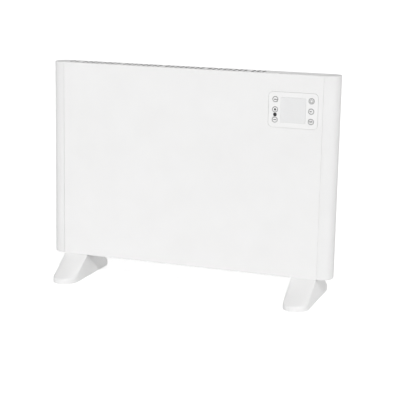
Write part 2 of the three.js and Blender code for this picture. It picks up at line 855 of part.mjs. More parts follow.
function controlBoard() {
  const halfWidth = controlWidth / 2 + bezelFlange - boardMargin;
  const halfHeight = controlHeight / 2 + bezelFlange - boardMargin;
  const board = block([controlX - halfWidth, controlX + halfWidth], [boardFront, boardFront + boardThickness],
    [controlZ - halfHeight, controlZ + halfHeight]);
  const switches = Object.values(keyPlaces).flatMap((place) => {
    const [x, z] = keyCentre(place);
    return [
      block([x - switchSide / 2, x + switchSide / 2], [boardFront - switchHeight, boardFront + 0.5],
        [z - switchSide / 2, z + switchSide / 2]),
      sweepY(circle(x, z, plungerRadius, 8), plungerFront, boardFront),
    ];
  });
  const plugLow = controlZ - controlHeight / 2 + plugRise;
  const plug = block([controlX - plugWidth / 2, controlX + plugWidth / 2],
    [boardFront + 1, boardFront + boardThickness + plugDepth], [plugLow, plugLow + plugHeight]);
  return join([board, ...switches, plug]);
}

// ---- Heater -------------------------------------------------------------------------------

// One wing of the element in its own (u, v) plane: a thin blade with short cross ribs.
function wingOutline() {
  const pitch = (wingLength - elementHubRadius) / wingRibs;
  const upper = [[elementHubRadius - 2, wingThickness / 2]];
  for (let i = 1; i <= wingRibs; i += 1) {
    const u = elementHubRadius + i * pitch;
    upper.push([u - wingRibThickness, wingThickness / 2], [u - wingRibThickness, wingRibHalf]);
    upper.push([u, wingRibHalf]);
    if (i < wingRibs) upper.push([u, wingThickness / 2]);
  }
  const lower = [...upper].reverse().map(([u, v]) => [u, -v]);
  return [...upper, ...lower];
}

function heatingElement() {
  const wings = [90 - wingAngle, 90 + wingAngle, 270 - wingAngle, 270 + wingAngle].map((degrees) => {
    const turn = THREE.MathUtils.degToRad(degrees);
    const outline = wingOutline().map(([u, v]) => new THREE.Vector2(
      elementY + u * Math.cos(turn) - v * Math.sin(turn),
      elementZ + u * Math.sin(turn) + v * Math.cos(turn)));
    return sweepX(outline, elementLeft, elementRight);
  });
  const hub = sweepX(circle(elementY, elementZ, elementHubRadius, 16), elementLeft, elementRight);
  const rod = sweepX(circle(elementY, elementZ, elementRodRadius, 12),
    elementLeft - elementRodOverhang, elementRight + elementRodOverhang);
  return join([hub, rod, ...wings]);
}

// The face of a bracket that looks at the element's end.
function bracketFace(side) {
  const end = side < 0 ? elementLeft : elementRight;
  return end + side * (bushFlangeThickness + 3 * clearance);
}

function elementBracket(side) {
  const face = bracketFace(side);
  const back = insideRear - clearance;
  const section = roundCorners([
    [face, -bracketReach, 0],
    [face, back, bracketThickness + 1],
    [face + side * bracketFlange, back, 0],
    [face + side * bracketFlange, back - bracketThickness, 0],
    [face + side * bracketThickness, back - bracketThickness, 1],
    [face + side * bracketThickness, -bracketReach, 0],
  ], 3);
  const plate = sweepZ(section, elementZ - bracketHeight / 2, elementZ + bracketHeight / 2);
  const hole = sweepX(circle(elementY, elementZ, bushRadius + clearance, 14),
    face - side * sheet, face + side * (bracketThickness + sheet));
  return cut(plate, [hole]);
}

// The ceramic bush that carries the element's rod in the bracket.
function elementBush(side) {
  const bore = elementRodRadius + clearance;
  const inner = bracketFace(side) - side * (clearance + bushFlangeThickness);
  const outer = bracketFace(side) + side * (bracketThickness + bushFlangeThickness);
  const collar = sweepX(circle(elementY, elementZ, bushFlange, 14), inner, inner + side * bushFlangeThickness,
    [circle(elementY, elementZ, bore, 12)]);
  const neck = sweepX(circle(elementY, elementZ, bushRadius, 14), inner + side, outer,
    [circle(elementY, elementZ, bore, 12)]);
  return join([collar, neck]);
}

function heatShield() {
  const back = insideRear - clearance;
  const low = elementZ - shieldBelow;
  const high = elementZ + shieldAbove;
  const t = shieldThickness;
  const section = roundCorners([
    [back, low - shieldFlange, 0],
    [back, low + t, t],
    [shieldFront + t, low + t, t],
    [shieldFront + t, high - t, t],
    [back, high - t, t],
    [back, high + shieldFlange, 0],
    [back - t, high + shieldFlange, 0],
    [back - t, high, t],
    [shieldFront, high, t],
    [shieldFront, low, t],
    [back - t, low, t],
    [back - t, low - shieldFlange, 0],
  ], 2);
  return sweepX(section, elementLeft + 2, elementRight - 2);
}

function cutoutBracket() {
  const seat = shieldFront - clearance;
  const t = sheet;
  const low = cutoutZ - cutoutRadius - 5;
  const high = cutoutZ + cutoutRadius + 6;
  const section = roundCorners([
    [cutoutFace, low, 0],
    [cutoutFace, high, t],
    [seat - t, high, t],
    [seat - t, high + 12, 0],
    [seat, high + 12, 0],
    [seat, high - t, t],
    [cutoutFace + t, high - t, t],
    [cutoutFace + t, low, 0],
  ], 2);
  const strip = sweepX(section, elementCentreX - cutoutBracketWidth / 2,
    elementCentreX + cutoutBracketWidth / 2);
  return cut(strip, [sweepY(circle(elementCentreX, cutoutZ, cutoutRadius + clearance),
    cutoutFace - 2, cutoutFace + t + 2)]);
}

function thermalCutout() {
  const flangeRear = -clearance;
  const body = turnY([
    [0, -cutoutDepth / 2],
    [cutoutRadius - 1, -cutoutDepth / 2],
    [cutoutRadius - 1, flangeRear - 1.2],
    [cutoutFlange, flangeRear - 1.2],
    [cutoutFlange, flangeRear],
    [cutoutRadius, flangeRear],
    [cutoutRadius, cutoutDepth / 2 + 1],
    [0, cutoutDepth / 2 + 1],
  ], 16, [elementCentreX, cutoutFace, cutoutZ]);
  const blades = [-1, 1].map((side) => elementCentreX + side * bladePitch / 2).map((x) => block(
    [x - bladeWidth / 2, x + bladeWidth / 2],
    [cutoutFace - cutoutDepth / 2 - bladeLength, cutoutFace - cutoutDepth / 2 + 1],
    [cutoutZ - bladeThickness / 2, cutoutZ + bladeThickness / 2]));
  return join([body, ...blades]);
}

// ---- Electronics side ---------------------------------------------------------------------

function partition() {
  const back = insideRear - clearance;
  const depth = lipFront - insideFront - 2 * clearance;
  const plate = sweepX(roundedRectangle((insideFront + lipFront) / 2, (base + top) / 2, depth,
    bodyHeight - 2 * sheet - 2 * clearance, bendRadius), partitionX, partitionX + sheet);
  const flange = block([partitionX - partitionFlange, partitionX + sheet], [back - sheet, back],
    [base + lipDepth + 2, top - lipDepth - 2]);
  const web = block([partitionX, partitionX + sheet], [lipFront - 1, back],
    [base + lipDepth + 2, top - lipDepth - 2]);
  const wireHole = sweepX(circle(0, powerBoardZ, wireHoleRadius, 20),
    partitionX - sheet, partitionX + 2 * sheet);
  return cut(join([plate, flange, web]), [wireHole]);
}

function powerBoard() {
  const board = sweepY(rectangle(powerBoardX, powerBoardZ, powerBoardWidth, powerBoardHeight),
    powerBoardFront, powerBoardRear);
  const low = powerBoardZ - powerBoardHeight / 2;
  const sunk = powerBoardFront + boardThickness / 3;
  const coil = block([powerBoardX - coilSide - coilOffset, powerBoardX - coilOffset],
    [powerBoardFront - coilHeight, sunk], [low + coilRise, low + coilRise + coilSide]);
  const capacitor = sweepY(circle(powerBoardX + capacitorOffset, low + capacitorRise, capacitorRadius, 16),
    powerBoardFront - capacitorHeight, sunk);
  const connector = block([powerBoardX - connectorWidth / 2, powerBoardX + connectorWidth / 2],
    [powerBoardFront - connectorDepth, sunk], [low + connectorRise, low + connectorRise + connectorHeight]);
  return join([board, coil, capacitor, connector]);
}

// A sealed relay in its own frame: the origin is the middle of its foot on the board.
function relay() {
  return sweepY(roundedRectangle(0, 0, relayWidth, relayHeight, 1, 2), -relayDepth, 0);
}

function terminalBlock() {
  const back = insideRear - clearance;
  const low = base + terminalBase;
  const wayWidth = terminalWidth / terminalWays;
  const body = block([terminalX - terminalWidth / 2, terminalX + terminalWidth / 2],
    [back - 4, back], [low, low + terminalHeight]);
  const barrels = [];
  const bores = [];
  for (let i = 0; i < terminalWays; i += 1) {
    const x = terminalX + (i - (terminalWays - 1) / 2) * wayWidth;
    barrels.push(block([x - wayWidth / 2 + 0.8, x + wayWidth / 2 - 0.8],
      [back - terminalDepth, back - 3], [low, low + terminalHeight]));
    bores.push(sweepZ(circle(x, back - terminalDepth / 2 - 1, terminalBore, 12),
      low - 1, low + terminalHeight + 1));
  }
  return cut(join([body, ...barrels]), bores);
}

// The cord bush: a flange outside, a neck in the cover's hole and a lip inside.
function cordGland() {
  const outer = rear + clearance;
  const inner = insideRear - clearance;
  return turnY([
    [glandBore, inner - glandInside],
    [glandNeck, inner - glandInside],
    [glandNeck + 1.4, inner - 1.5],
    [glandNeck + 1.4, inner],
    [glandNeck, inner],
    [glandNeck, outer],
    [glandFlange, outer],
    [glandFlange, outer + 1.5],
    [glandFlange - 1.5, outer + glandNose],
    [glandBore, outer + glandNose],
    [glandBore, inner - glandInside],
  ], 16, [glandX, 0, glandZ]);
}

function roomSensor() {
  const low = insideBase + clearance;
  const clip = block([sensorX - sensorWidth / 2, sensorX + sensorWidth / 2],
    [-sensorWidth / 2, sensorWidth / 2], [low, low + 3]);
  const stem = block([sensorX - 1, sensorX + 1], [-1.5, 1.5], [low, low + sensorHeight - sensorBead]);
  const bead = sweepX(circle(0, low + sensorHeight - sensorBead, sensorBead, 12),
    sensorX - sensorBead, sensorX + sensorBead);
  return join([clip, stem, bead]);
}

// ---- Mains rocker switch ------------------------------------------------------------------

function switchPocketLength() {
  return 2 * (rockerRadius + clearance);
}

function switchBodyLength() {
  return switchPocketLength() + 2 * switchWall;
}

function switchBodyWidth() {
  return rockerWidth + 2 * clearance + 2 * switchWall;
}

function switchHousing() {
  const outer = rear + switchBezelHeight;
  const body = sweepY(rectangle(rockerX, rockerZ, switchBodyWidth(), switchBodyLength()),
    insideRear - switchDepth, outer);
  const bezel = sweepY(roundedRectangle(rockerX, rockerZ, switchBodyWidth() + 2 * switchBezel,
    switchBodyLength() + 2 * switchBezel, 1.5, 3), rear + clearance, outer);
  const pocketFloor = rockerY - rockerRadius * Math.sin(
    THREE.MathUtils.degToRad(rockerSkirtAngle + rockerTilt)) - clearance;
  const pocket = block([rockerX - rockerWidth / 2 - clearance, rockerX + rockerWidth / 2 + clearance],
    [pocketFloor, outer + 1],
    [rockerZ - switchPocketLength() / 2, rockerZ + switchPocketLength() / 2]);
  const pinReach = rockerWidth / 2 + rockerPinLength + clearance;
  const pinHole = sweepX(circle(rockerY, rockerZ, rockerPinRadius + clearance, 16),
    rockerX - pinReach, rockerX + pinReach);
  const blades = [-1, 0, 1].map((row) => rockerZ + row * bladePitch).map((z) => block(
    [rockerX - bladeWidth / 2, rockerX + bladeWidth / 2],
    [insideRear - switchDepth - bladeLength, insideRear - switchDepth + 1],
    [z - bladeThickness / 2, z + bladeThickness / 2]));
  return cut(join([body, bezel, ...blades]), [pocket, pinHole]);
}

// The rocker about its own pivot, level between its two stops.
function rocker() {
  const centreHeight = rockerRadius * (Math.sin(THREE.MathUtils.degToRad(rockerEndAngle))
    - Math.cos(THREE.MathUtils.degToRad(rockerEndAngle)) * Math.tan(THREE.MathUtils.degToRad(rockerTilt)));
  const upperEnd = arc(0, 0, rockerRadius, rockerRadius, 90 - rockerEndAngle, 90 + rockerSkirtAngle, 5);
  const lowerEnd = arc(0, 0, rockerRadius, rockerRadius, 270 - rockerSkirtAngle, 270 + rockerEndAngle, 5);
  const section = [new THREE.Vector2(centreHeight, 0), ...upperEnd, ...lowerEnd];
  const paddle = sweepX(section, -rockerWidth / 2, rockerWidth / 2);
  const pins = sweepX(circle(0, 0, rockerPinRadius, 12),
    -rockerWidth / 2 - rockerPinLength, rockerWidth / 2 + rockerPinLength);
  return join([paddle, pins]);
}

// ---- Tip-over switch ----------------------------------------------------------------------

function tipHousing() {
  const outerHalf = tipWidth / 2 + tipPlate;
  const section = [
    [-outerHalf, -tipFront], [-tipWidth / 2, -tipFront], [-tipWidth / 2, tipRear - tipPlate],
    [tipWidth / 2, tipRear - tipPlate], [tipWidth / 2, -tipFront], [outerHalf, -tipFront],
    [outerHalf, tipRear], [-outerHalf, tipRear],
  ].map(([x, y]) => new THREE.Vector2(tipX + x, y));
  const channel = sweepZ(section, tipPinZ - tipBelow, tipPinZ + tipAbove);
  const pinHoles = sweepX(circle(0, tipPinZ, tipPinRadius + clearance, 16),
    tipX - outerHalf - 1, tipX + outerHalf + 1);
  return cut(channel, [pinHoles]);
}

function tipPin() {
  const reach = tipWidth / 2 + tipPlate + 1.5;
  return sweepX(circle(0, tipPinZ, tipPinRadius, 16), tipX - reach, tipX + reach);
}

// The hanging weight about its own pin.
function tipPendulum() {
  const hub = sweepX(circle(0, 0, tipHubRadius, 14), -tipHubWidth / 2, tipHubWidth / 2);
  const arm = block([-tipHubWidth / 4, tipHubWidth / 4], [-tipArmWidth / 2, tipArmWidth / 2],
    [-tipArmLength, -tipPinRadius - 1]);
  const weight = sweepX(circle(0, -tipArmLength, tipWeightRadius, 14), -tipHubWidth / 2, tipHubWidth / 2);
  const bore = sweepX(circle(0, 0, tipPinRadius + clearance, 16), -tipHubWidth, tipHubWidth);
  return cut(join([hub, arm, weight]), [bore]);
}

function microswitch() {
  const low = tipPinZ + tipHubRadius + clearance;
  const halfWidth = tipWidth / 2 - clearance;
  return block([tipX - halfWidth, tipX + halfWidth], [-microswitchDepth / 2, microswitchDepth / 2],
    [low, low + microswitchHeight]);
}

// ---- Assembly -----------------------------------------------------------------------------

const finishes = {
  panelPaint: { color: 0xeeeeec, roughness: 0.55, metalness: 0 },
  capPlastic: { color: 0xeeeeec, roughness: 0.5, metalness: 0 },
  keyPlastic: { color: 0xf0f0ee, roughness: 0.45, metalness: 0 },
  windowPlastic: { color: 0xdedfdf, roughness: 0.15, metalness: 0 },
  darkPlastic: { color: 0x222224, roughness: 0.4, metalness: 0 },
  screwSteel: { color: 0xb8babc, roughness: 0.35, metalness: 1 },
  zincSheet: { color: 0xa9adb0, roughness: 0.4, metalness: 1 },
  aluminium: { color: 0xc9ccce, roughness: 0.35, metalness: 1 },
  ceramic: { color: 0xe9e4da, roughness: 0.4, metalness: 0 },
  boardGreen: { color: 0x2f6b45, roughness: 0.5, metalness: 0 },
  relayBlue: { color: 0x2c5f9e, roughness: 0.4, metalness: 0 },
  cutoutBlack: { color: 0x2b2623, roughness: 0.6, metalness: 0 },
};

const heater = new THREE.Group();

function add(name, finish, solid) {
  const mesh = new THREE.Mesh(geometryOf(solid), new THREE.MeshStandardMaterial(finishes[finish]));
  mesh.name = name;
  heater.add(mesh);
  return mesh;
}

function addCasing() {
  add('front_panel', 'panelPaint', frontPanel());
  add('rear_cover', 'panelPaint', rearCover());
  add('left_end_cap', 'capPlastic', endCap(-1));
  add('right_end_cap', 'capPlastic', endCap(1));
  add('left_foot', 'capPlastic', foot()).position.x = -footX;
  add('right_foot', 'capPlastic', foot()).position.x = footX;
}

function addScrews() {
  footScrewPlaces().forEach(([x, y], i) => {
    const mesh = add(`foot_screw_${i + 1}`, 'screwSteel', screw(footBossDepth + 2 * screwHeadHeight));
    mesh.position.set(x, y, footTop - footBossDepth - clearance);
    mesh.rotation.x = -Math.PI / 2;
  });
  capScrewHeights.flatMap((z) => [[-capScrewX, z], [capScrewX, z]]).forEach(([x, z], i) => {
    add(`cap_screw_${i + 1}`, 'screwSteel', screw(screwLength)).position.set(x, rear + clearance, z);
  });
  lipScrewHeights.flatMap((z) => [[-coverScrewX, z], [coverScrewX, z]]).forEach(([x, z], i) => {
    add(`cover_screw_${i + 1}`, 'screwSteel', screw(screwLength)).position.set(x, rear + clearance, z);
  });
}

function addControls() {
  add('control_bezel', 'capPlastic', controlBezel());
  add('display_window', 'windowPlastic', displayWindow());
  add('display_module', 'darkPlastic', displayModule());
  add('infrared_window', 'darkPlastic', infraredWindow());
  for (const [name, place] of Object.entries(keyPlaces)) {
    const [x, z] = keyCentre(place);
    add(name, 'keyPlastic', key()).position.set(x, front, z);
  }
  add('control_board', 'boardGreen', controlBoard());
}

function addHeater() {
  add('heating_element', 'aluminium', heatingElement());
  add('left_element_bracket', 'zincSheet', elementBracket(-1));
  add('right_element_bracket', 'zincSheet', elementBracket(1));
  add('left_element_bush', 'ceramic', elementBush(-1));
  add('right_element_bush', 'ceramic', elementBush(1));
  add('heat_shield', 'zincSheet', heatShield());
  add('cutout_bracket', 'zincSheet', cutoutBracket());
  add('thermal_cutout', 'cutoutBlack', thermalCutout());
}

function addElectronics() {
  add('partition', 'zincSheet', partition());
  add('power_board', 'boardGreen', powerBoard());
  for (const [name, side] of [['left_relay', -1], ['right_relay', 1]]) {
    add(name, 'relayBlue', relay()).position.set(powerBoardX + side * (relayWidth + relayGap) / 2,
      powerBoardFront - clearance, powerBoardZ + (powerBoardHeight - relayHeight) / 2 - relayDrop);
  }
  add('terminal_block', 'ceramic', terminalBlock());
  add('cord_gland', 'darkPlastic', cordGland());
  add('room_sensor', 'ceramic', roomSensor());
  add('switch_housing', 'darkPlastic', switchHousing());
  const paddle = add('rocker', 'darkPlastic', rocker());
  paddle.position.set(rockerX, rockerY, rockerZ);
  paddle.rotation.x = THREE.MathUtils.degToRad(-rockerTilt);
}

function addTipSwitch() {
  add('tip_housing', 'zincSheet', tipHousing());
  add('tip_pin', 'screwSteel', tipPin());
  add('tip_pendulum', 'screwSteel', tipPendulum()).position.set(tipX, 0, tipPinZ);
  add('microswitch', 'darkPlastic', microswitch());
}

addCasing();
addScrews();
addControls();
addHeater();
addElectronics();
addTipSwitch();

export default heater;
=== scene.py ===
"""The looks of a panel convector heater on two feet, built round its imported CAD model.

Sizes in this script are millimetres, as in the CAD model, and meshes are scaled to metres as
they are made. +Z is up, the front faces -Y and the controls are on the +X side.
"""

import json
import math

import bmesh
import bpy
from mathutils import Matrix, Vector


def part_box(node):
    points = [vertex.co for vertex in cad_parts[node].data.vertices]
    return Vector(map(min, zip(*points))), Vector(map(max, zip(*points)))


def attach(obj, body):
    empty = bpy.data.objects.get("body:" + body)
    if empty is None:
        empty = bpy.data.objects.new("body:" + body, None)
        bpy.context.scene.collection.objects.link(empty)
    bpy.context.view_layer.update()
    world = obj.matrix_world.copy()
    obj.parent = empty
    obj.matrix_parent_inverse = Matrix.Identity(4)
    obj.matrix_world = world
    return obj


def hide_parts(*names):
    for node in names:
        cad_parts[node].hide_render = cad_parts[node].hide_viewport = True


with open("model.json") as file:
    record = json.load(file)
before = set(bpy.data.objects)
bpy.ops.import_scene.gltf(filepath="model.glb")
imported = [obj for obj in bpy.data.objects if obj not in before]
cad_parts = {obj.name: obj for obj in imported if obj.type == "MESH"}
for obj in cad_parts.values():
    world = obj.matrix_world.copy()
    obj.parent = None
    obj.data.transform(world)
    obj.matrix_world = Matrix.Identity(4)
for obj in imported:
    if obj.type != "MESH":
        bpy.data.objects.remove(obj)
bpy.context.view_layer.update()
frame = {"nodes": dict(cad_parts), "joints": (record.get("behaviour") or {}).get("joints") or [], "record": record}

METRE = 1000.0


def cad_box(node):
    """The corners of a CAD node in millimetres."""
    low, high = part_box(node)
    return low * METRE, high * METRE


def cad_centre(node):
    low, high = cad_box(node)
    return (low + high) / 2


# ---- Driving dimensions, read from the frame where it has them ----

PANEL_LOW, PANEL_HIGH = cad_box("front_panel")
COVER_LOW, COVER_HIGH = cad_box("rear_cover")
FOOT_LOW, FOOT_HIGH = cad_box("right_foot")
BEZEL_LOW, BEZEL_HIGH = cad_box("control_bezel")

FRONT = PANEL_LOW.y
TOP = PANEL_HIGH.z
BASE = PANEL_LOW.z
SHEET = 1.0
GAP = 0.3
BEND_RADIUS = 1.5
LIP_DEPTH = 12.0
REAR = -FRONT
SEAM = PANEL_HIGH.x + GAP
BODY_DEPTH = REAR - FRONT

CAP_REACH = cad_box("right_end_cap")[1].x - SEAM
SEAM_EASE = {-1: 0.15, 1: -0.1}  # the left seam is a little wider than the right one
CAP_ROUNDNESS = 2.4
CAP_RISE = 0.5
CAP_BOTTOM_ROUND = 2.0
CAP_WALL = 2.5
CAP_RIM = 5.0
CAP_INNER_ROUND = 1.0
TONGUE_REACH = 6.0
TONGUE_WALL = 2.0

FOOT_WIDTH = FOOT_HIGH.x - FOOT_LOW.x
FOOT_LENGTH = FOOT_HIGH.y - FOOT_LOW.y
FOOT_TOP = BASE - GAP
FOOT_X = (FOOT_HIGH.x + FOOT_LOW.x) / 2
FOOT_LIP = 11.6
FOOT_SHOULDER = 7.0
FOOT_NOSE = 31.0
FOOT_ROUNDNESS = 2.05
FOOT_EDGE = 0.6
FOOT_INNER_EDGE = 0.2
FOOT_RIDGE = 0.5
FOOT_GROOVE_INSET = 1.0
FOOT_GROOVE_LENGTH = 9.0
FOOT_GROOVE_DEPTH = 2.4
FOOT_WALL = 3.0
FOOT_RIB = 2.0
FOOT_RIB_LIFT = 3.0
FOOT_BOSS_RADIUS = 6.0
FOOT_BOSS_DEPTH = 10.0
FOOT_HEAD_ROOM = 4.8

SLOT_WIDTH = 5.3
SLOT_LENGTH = 35.0
SLOT_PITCH = 11.3
SLOTS_PER_GROUP = 8
GROUP_PITCH = 97.0
GROUP_OFFSET = -60.0
OUTLET_LEFT = -286.1
OUTLET_RIGHT = 160.0
INTAKE_WIDTH = 9.0
INTAKE_PITCH = 20.0
INTAKE_LEFT = -232.0
INTAKE_RIGHT = 158.0

LOUVRE_LENGTH = 46.0
LOUVRE_RISE = 4.0
LOUVRE_SKIN = 0.8
LOUVRE_PITCH = 66.0
LOUVRE_ROW_PITCH = 14.0
LOUVRE_COLUMNS = 5
LOUVRE_ROWS = 3
LOUVRE_HEIGHT = 24.0
KEYHOLE_SPACING = 400.0
KEYHOLE_DROP = 60.0
KEYHOLE_HEAD = 5.5
KEYHOLE_NECK = 2.8
KEYHOLE_TRAVEL = 11.0
STANDOFF_RADIUS = 3.0

SCREW_SHANK = 1.75
SCREW_HEAD = 3.8
SCREW_HEAD_HEIGHT = 2.4
SCREW_HEAD_SIDE = 0.35  # the upright share of the head's height
SCREW_HOLE = 2.05
SCREW_NECK = 1.0
SCREW_TIP = 2.0
SCREW_PLAIN = 3.5
THREAD_PITCH = 1.4
THREAD_START = 1.2
THREAD_DEPTH = 0.35
THREAD_LEAN = 0.45
RECESS_DEPTH = 1.5
RECESS_REACH = 1.9
RECESS_WIDTH = 0.42
RECESS_TAPER = 0.55
CAP_BOSS_RADIUS = 4.0
CAP_BOSS_DEPTH = 12.0

FINE_GAP = 0.06
CONTROL_CENTRE = (BEZEL_LOW + BEZEL_HIGH) / 2
CONTROL_CORNER = 9.5
BEZEL_FLANGE = 3.0
BEZEL_THICKNESS = 2.8
BEZEL_EASE = 0.1
CONTROL_WIDTH = BEZEL_HIGH.x - BEZEL_LOW.x - 2 * BEZEL_FLANGE
CONTROL_HEIGHT = BEZEL_HIGH.z - BEZEL_LOW.z - 2 * BEZEL_FLANGE
POST_RADIUS = 2.6
POST_INSET = 5.5
WINDOW_LOW, WINDOW_HIGH = cad_box("display_window")
WINDOW_WIDTH = WINDOW_HIGH.x - WINDOW_LOW.x + 2 * GAP
WINDOW_HEIGHT = WINDOW_HIGH.z - WINDOW_LOW.z + 2 * GAP
WINDOW_CORNER = 2.0
WINDOW_THICKNESS = WINDOW_HIGH.y - WINDOW_LOW.y
WINDOW_LEDGE = 2.0
EYE_LOW, EYE_HIGH = cad_box("infrared_window")
EYE_EXTRA = 0.25  # the photo shows the infrared window a little larger than the CAD model
EYE_RADIUS = (EYE_HIGH.x - EYE_LOW.x) / 2 + EYE_EXTRA
EYE_RISE = 0.25
KEY_NAMES = ["key_mode", "key_plus", "key_minus", "key_power", "key_timer", "key_heat"]
KEY_RADIUS = 6.0
KEY_FLANGE_FRONT = FRONT + BEZEL_THICKNESS + GAP
KEY_SKIRT = 1.3
KEY_STEM = 2.0
KEY_RIM = 0.15
KEY_TAB_HEIGHT = 5.0
KEY_DISH = 0.12
KEY_DISH_RADIUS = 4.6
KEY_RING_OUTER = 5.85
KEY_RING_WIDTH = 1.0
INK_HEIGHT = 0.03

GLAND_BORE = 4.25
GLAND_NECK = 6.6
GLAND_CLIP = 1.4
GLAND_CLIP_SLOPE = 1.5
GLAND_EDGE = 1.2
GLAND_MOUTH = 0.8
SWITCH_WALL = 1.8
SWITCH_DEPTH = 18.0
ROCKER_RADIUS = 12.3
ROCKER_WIDTH = 11.0
ROCKER_END = 28.0
ROCKER_SKIRT = 12.0
ROCKER_TILT = 10.0
ROCKER_PIN = 1.2
ROCKER_DISH = 0.5
SWITCH_WIDTH = ROCKER_WIDTH + 2 * GAP + 2 * SWITCH_WALL
SWITCH_HEIGHT = 2 * (ROCKER_RADIUS + GAP + SWITCH_WALL)
SWITCH_FLOOR = 20.0
SWITCH_CORNER = 1.5
BLADE_WIDTH = 4.8
BLADE_THICKNESS = 0.8
BLADE_PITCH = 8.0

# How finely round things are divided. A pair has the steps round an end cap or a foot's nose
# and the steps up its rounded edge or its slope.
HOLE_STEPS = 24
BOSS_STEPS = 32
TURN_STEPS = 40
RIM_STEPS = 48
FINE_STEPS = 64
CAP_STEPS = (56, 8)
CAP_INNER_STEPS = (24, 2)
FOOT_STEPS = (28, 10)
FOOT_INNER_STEPS = (12, 3)
LOUVRE_STEPS = 8
ROCKER_STEPS = 9

# What is near enough to close or flat enough to keep, and the soft edge of the CAD nodes.
SAME_POINT = 0.0001
FLAT_ANGLE = 0.0001
SHORT_EDGE = 0.05
CAD_WELD = 0.01
CAD_EDGE = 0.25

# The camera was fitted to the outline of the object in the photograph.
LENS = 109.16
SENSOR = 36.0
CAMERA_AZIMUTH = 19.47
CAMERA_ELEVATION = 11.86
CAMERA_ROLL = 1.10
CAMERA_DISTANCE = 2627.31
CAMERA_ASIDE = 17.61
CAMERA_BELOW = 71.16
CAMERA_AIM = Vector((0.0, 0.0, 265.0))
CAMERA_SIGHT = 100.0  # metres

WORLD_LEVEL = 0.29
FLOOR_LIFT = 0.475
FLOOR_GREY = 0.93
FLOOR_REACH = 30.0  # metres

# The part of a noise's range that a blend spreads over, and how far a roughness wanders.
NOISE_LOW = 0.3
NOISE_HIGH = 0.7
ROUGHNESS_WANDER = 0.06


# ---- Camera, light and floor ----

def direction(azimuth, elevation):
    """The unit vector from the object towards a place round it. Azimuth 0 is in front."""
    a = math.radians(azimuth)
    e = math.radians(elevation)
    return Vector((math.sin(a) * math.cos(e), -math.cos(a) * math.cos(e), math.sin(e)))


def make_camera():
    back = direction(CAMERA_AZIMUTH, CAMERA_ELEVATION)
    level_right = Vector((0, 0, 1)).cross(back).normalized()
    level_up = back.cross(level_right)
    roll = math.radians(CAMERA_ROLL)
    right = math.cos(roll) * level_right + math.sin(roll) * level_up
    up = math.cos(roll) * level_up - math.sin(roll) * level_right
    place = CAMERA_AIM + CAMERA_ASIDE * right - CAMERA_BELOW * up + CAMERA_DISTANCE * back
    data = bpy.data.cameras.new("camera")
    data.lens = LENS
    data.sensor_width = SENSOR
    data.clip_end = CAMERA_SIGHT
    camera = bpy.data.objects.new("camera", data)
    camera.matrix_world = Matrix.Translation(place / METRE) @ Matrix(
        (right, up, back)).transposed().to_4x4()
    bpy.context.scene.collection.objects.link(camera)
    bpy.context.scene.camera = camera


def sun(name, azimuth, elevation, spread, level, mirrored=False):
    """A soft sun from a place round the object. A white surface that faces it gains level.

    Only a mirrored sun leaves a highlight.
    """
    data = bpy.data.lights.new(name, "SUN")
    data.angle = math.radians(spread)
    data.energy = level * math.pi
    lamp = bpy.data.objects.new(name, data)
    lamp.rotation_euler = direction(azimuth, elevation).to_track_quat("Z", "Y").to_euler()
    lamp.visible_glossy = mirrored
    bpy.context.scene.collection.objects.link(lamp)


def make_world():
    """White where the camera sees it, and a soft even light elsewhere."""
    world = bpy.data.worlds.new("studio")
    bpy.context.scene.world = world
    world.use_nodes = True
    nodes = world.node_tree.nodes
    links = world.node_tree.links
    nodes.clear()
    path = nodes.new("ShaderNodeLightPath")
    seen = nodes.new("ShaderNodeMath")
    seen.operation = "MAXIMUM"
    links.new(path.outputs["Is Camera Ray"], seen.inputs[0])
    links.new(path.outputs["Is Transmission Ray"], seen.inputs[1])
    strength = nodes.new("ShaderNodeMapRange")
    strength.inputs["To Min"].default_value = WORLD_LEVEL
    strength.inputs["To Max"].default_value = 1.0
    links.new(seen.outputs[0], strength.inputs["Value"])
    background = nodes.new("ShaderNodeBackground")
    background.inputs["Color"].default_value = (1, 1, 1, 1)
    links.new(strength.outputs[0], background.inputs["Strength"])
    output = nodes.new("ShaderNodeOutputWorld")
    links.new(background.outputs[0], output.inputs["Surface"])


def make_floor():
    """A pale floor that keeps the object's shadow. The camera sees a lift on top of its light."""
    mesh = bpy.data.meshes.new("floor")
    corners = [(*corner, 0) for corner in rectangle(0, 0, 2 * FLOOR_REACH, 2 * FLOOR_REACH)]
    mesh.from_pydata(corners, [], [(0, 1, 2, 3)])
    floor = bpy.data.objects.new("floor", mesh)
    bpy.context.scene.collection.objects.link(floor)
    material = bpy.data.materials.new("floor")
    material.use_nodes = True
    nodes = material.node_tree.nodes
    links = material.node_tree.links
    nodes.clear()
    diffuse = nodes.new("ShaderNodeBsdfDiffuse")
    diffuse.inputs["Color"].default_value = grey(FLOOR_GREY)
    path = nodes.new("ShaderNodeLightPath")
    strength = nodes.new("ShaderNodeMath")
    strength.operation = "MULTIPLY"
    strength.inputs[1].default_value = FLOOR_LIFT
    links.new(path.outputs["Is Camera Ray"], strength.inputs[0])
    glow = nodes.new("ShaderNodeEmission")
    links.new(strength.outputs[0], glow.inputs["Strength"])
    both = nodes.new("ShaderNodeAddShader")
    links.new(diffuse.outputs[0], both.inputs[0])
    links.new(glow.outputs[0], both.inputs[1])
    output = nodes.new("ShaderNodeOutputMaterial")
    links.new(both.outputs[0], output.inputs["Surface"])
    mesh.materials.append(material)


# ---- Materials ----

def grey(level, warmth=0.0):
    return (level * (1 + warmth), level, level * (1 - warmth), 1.0)


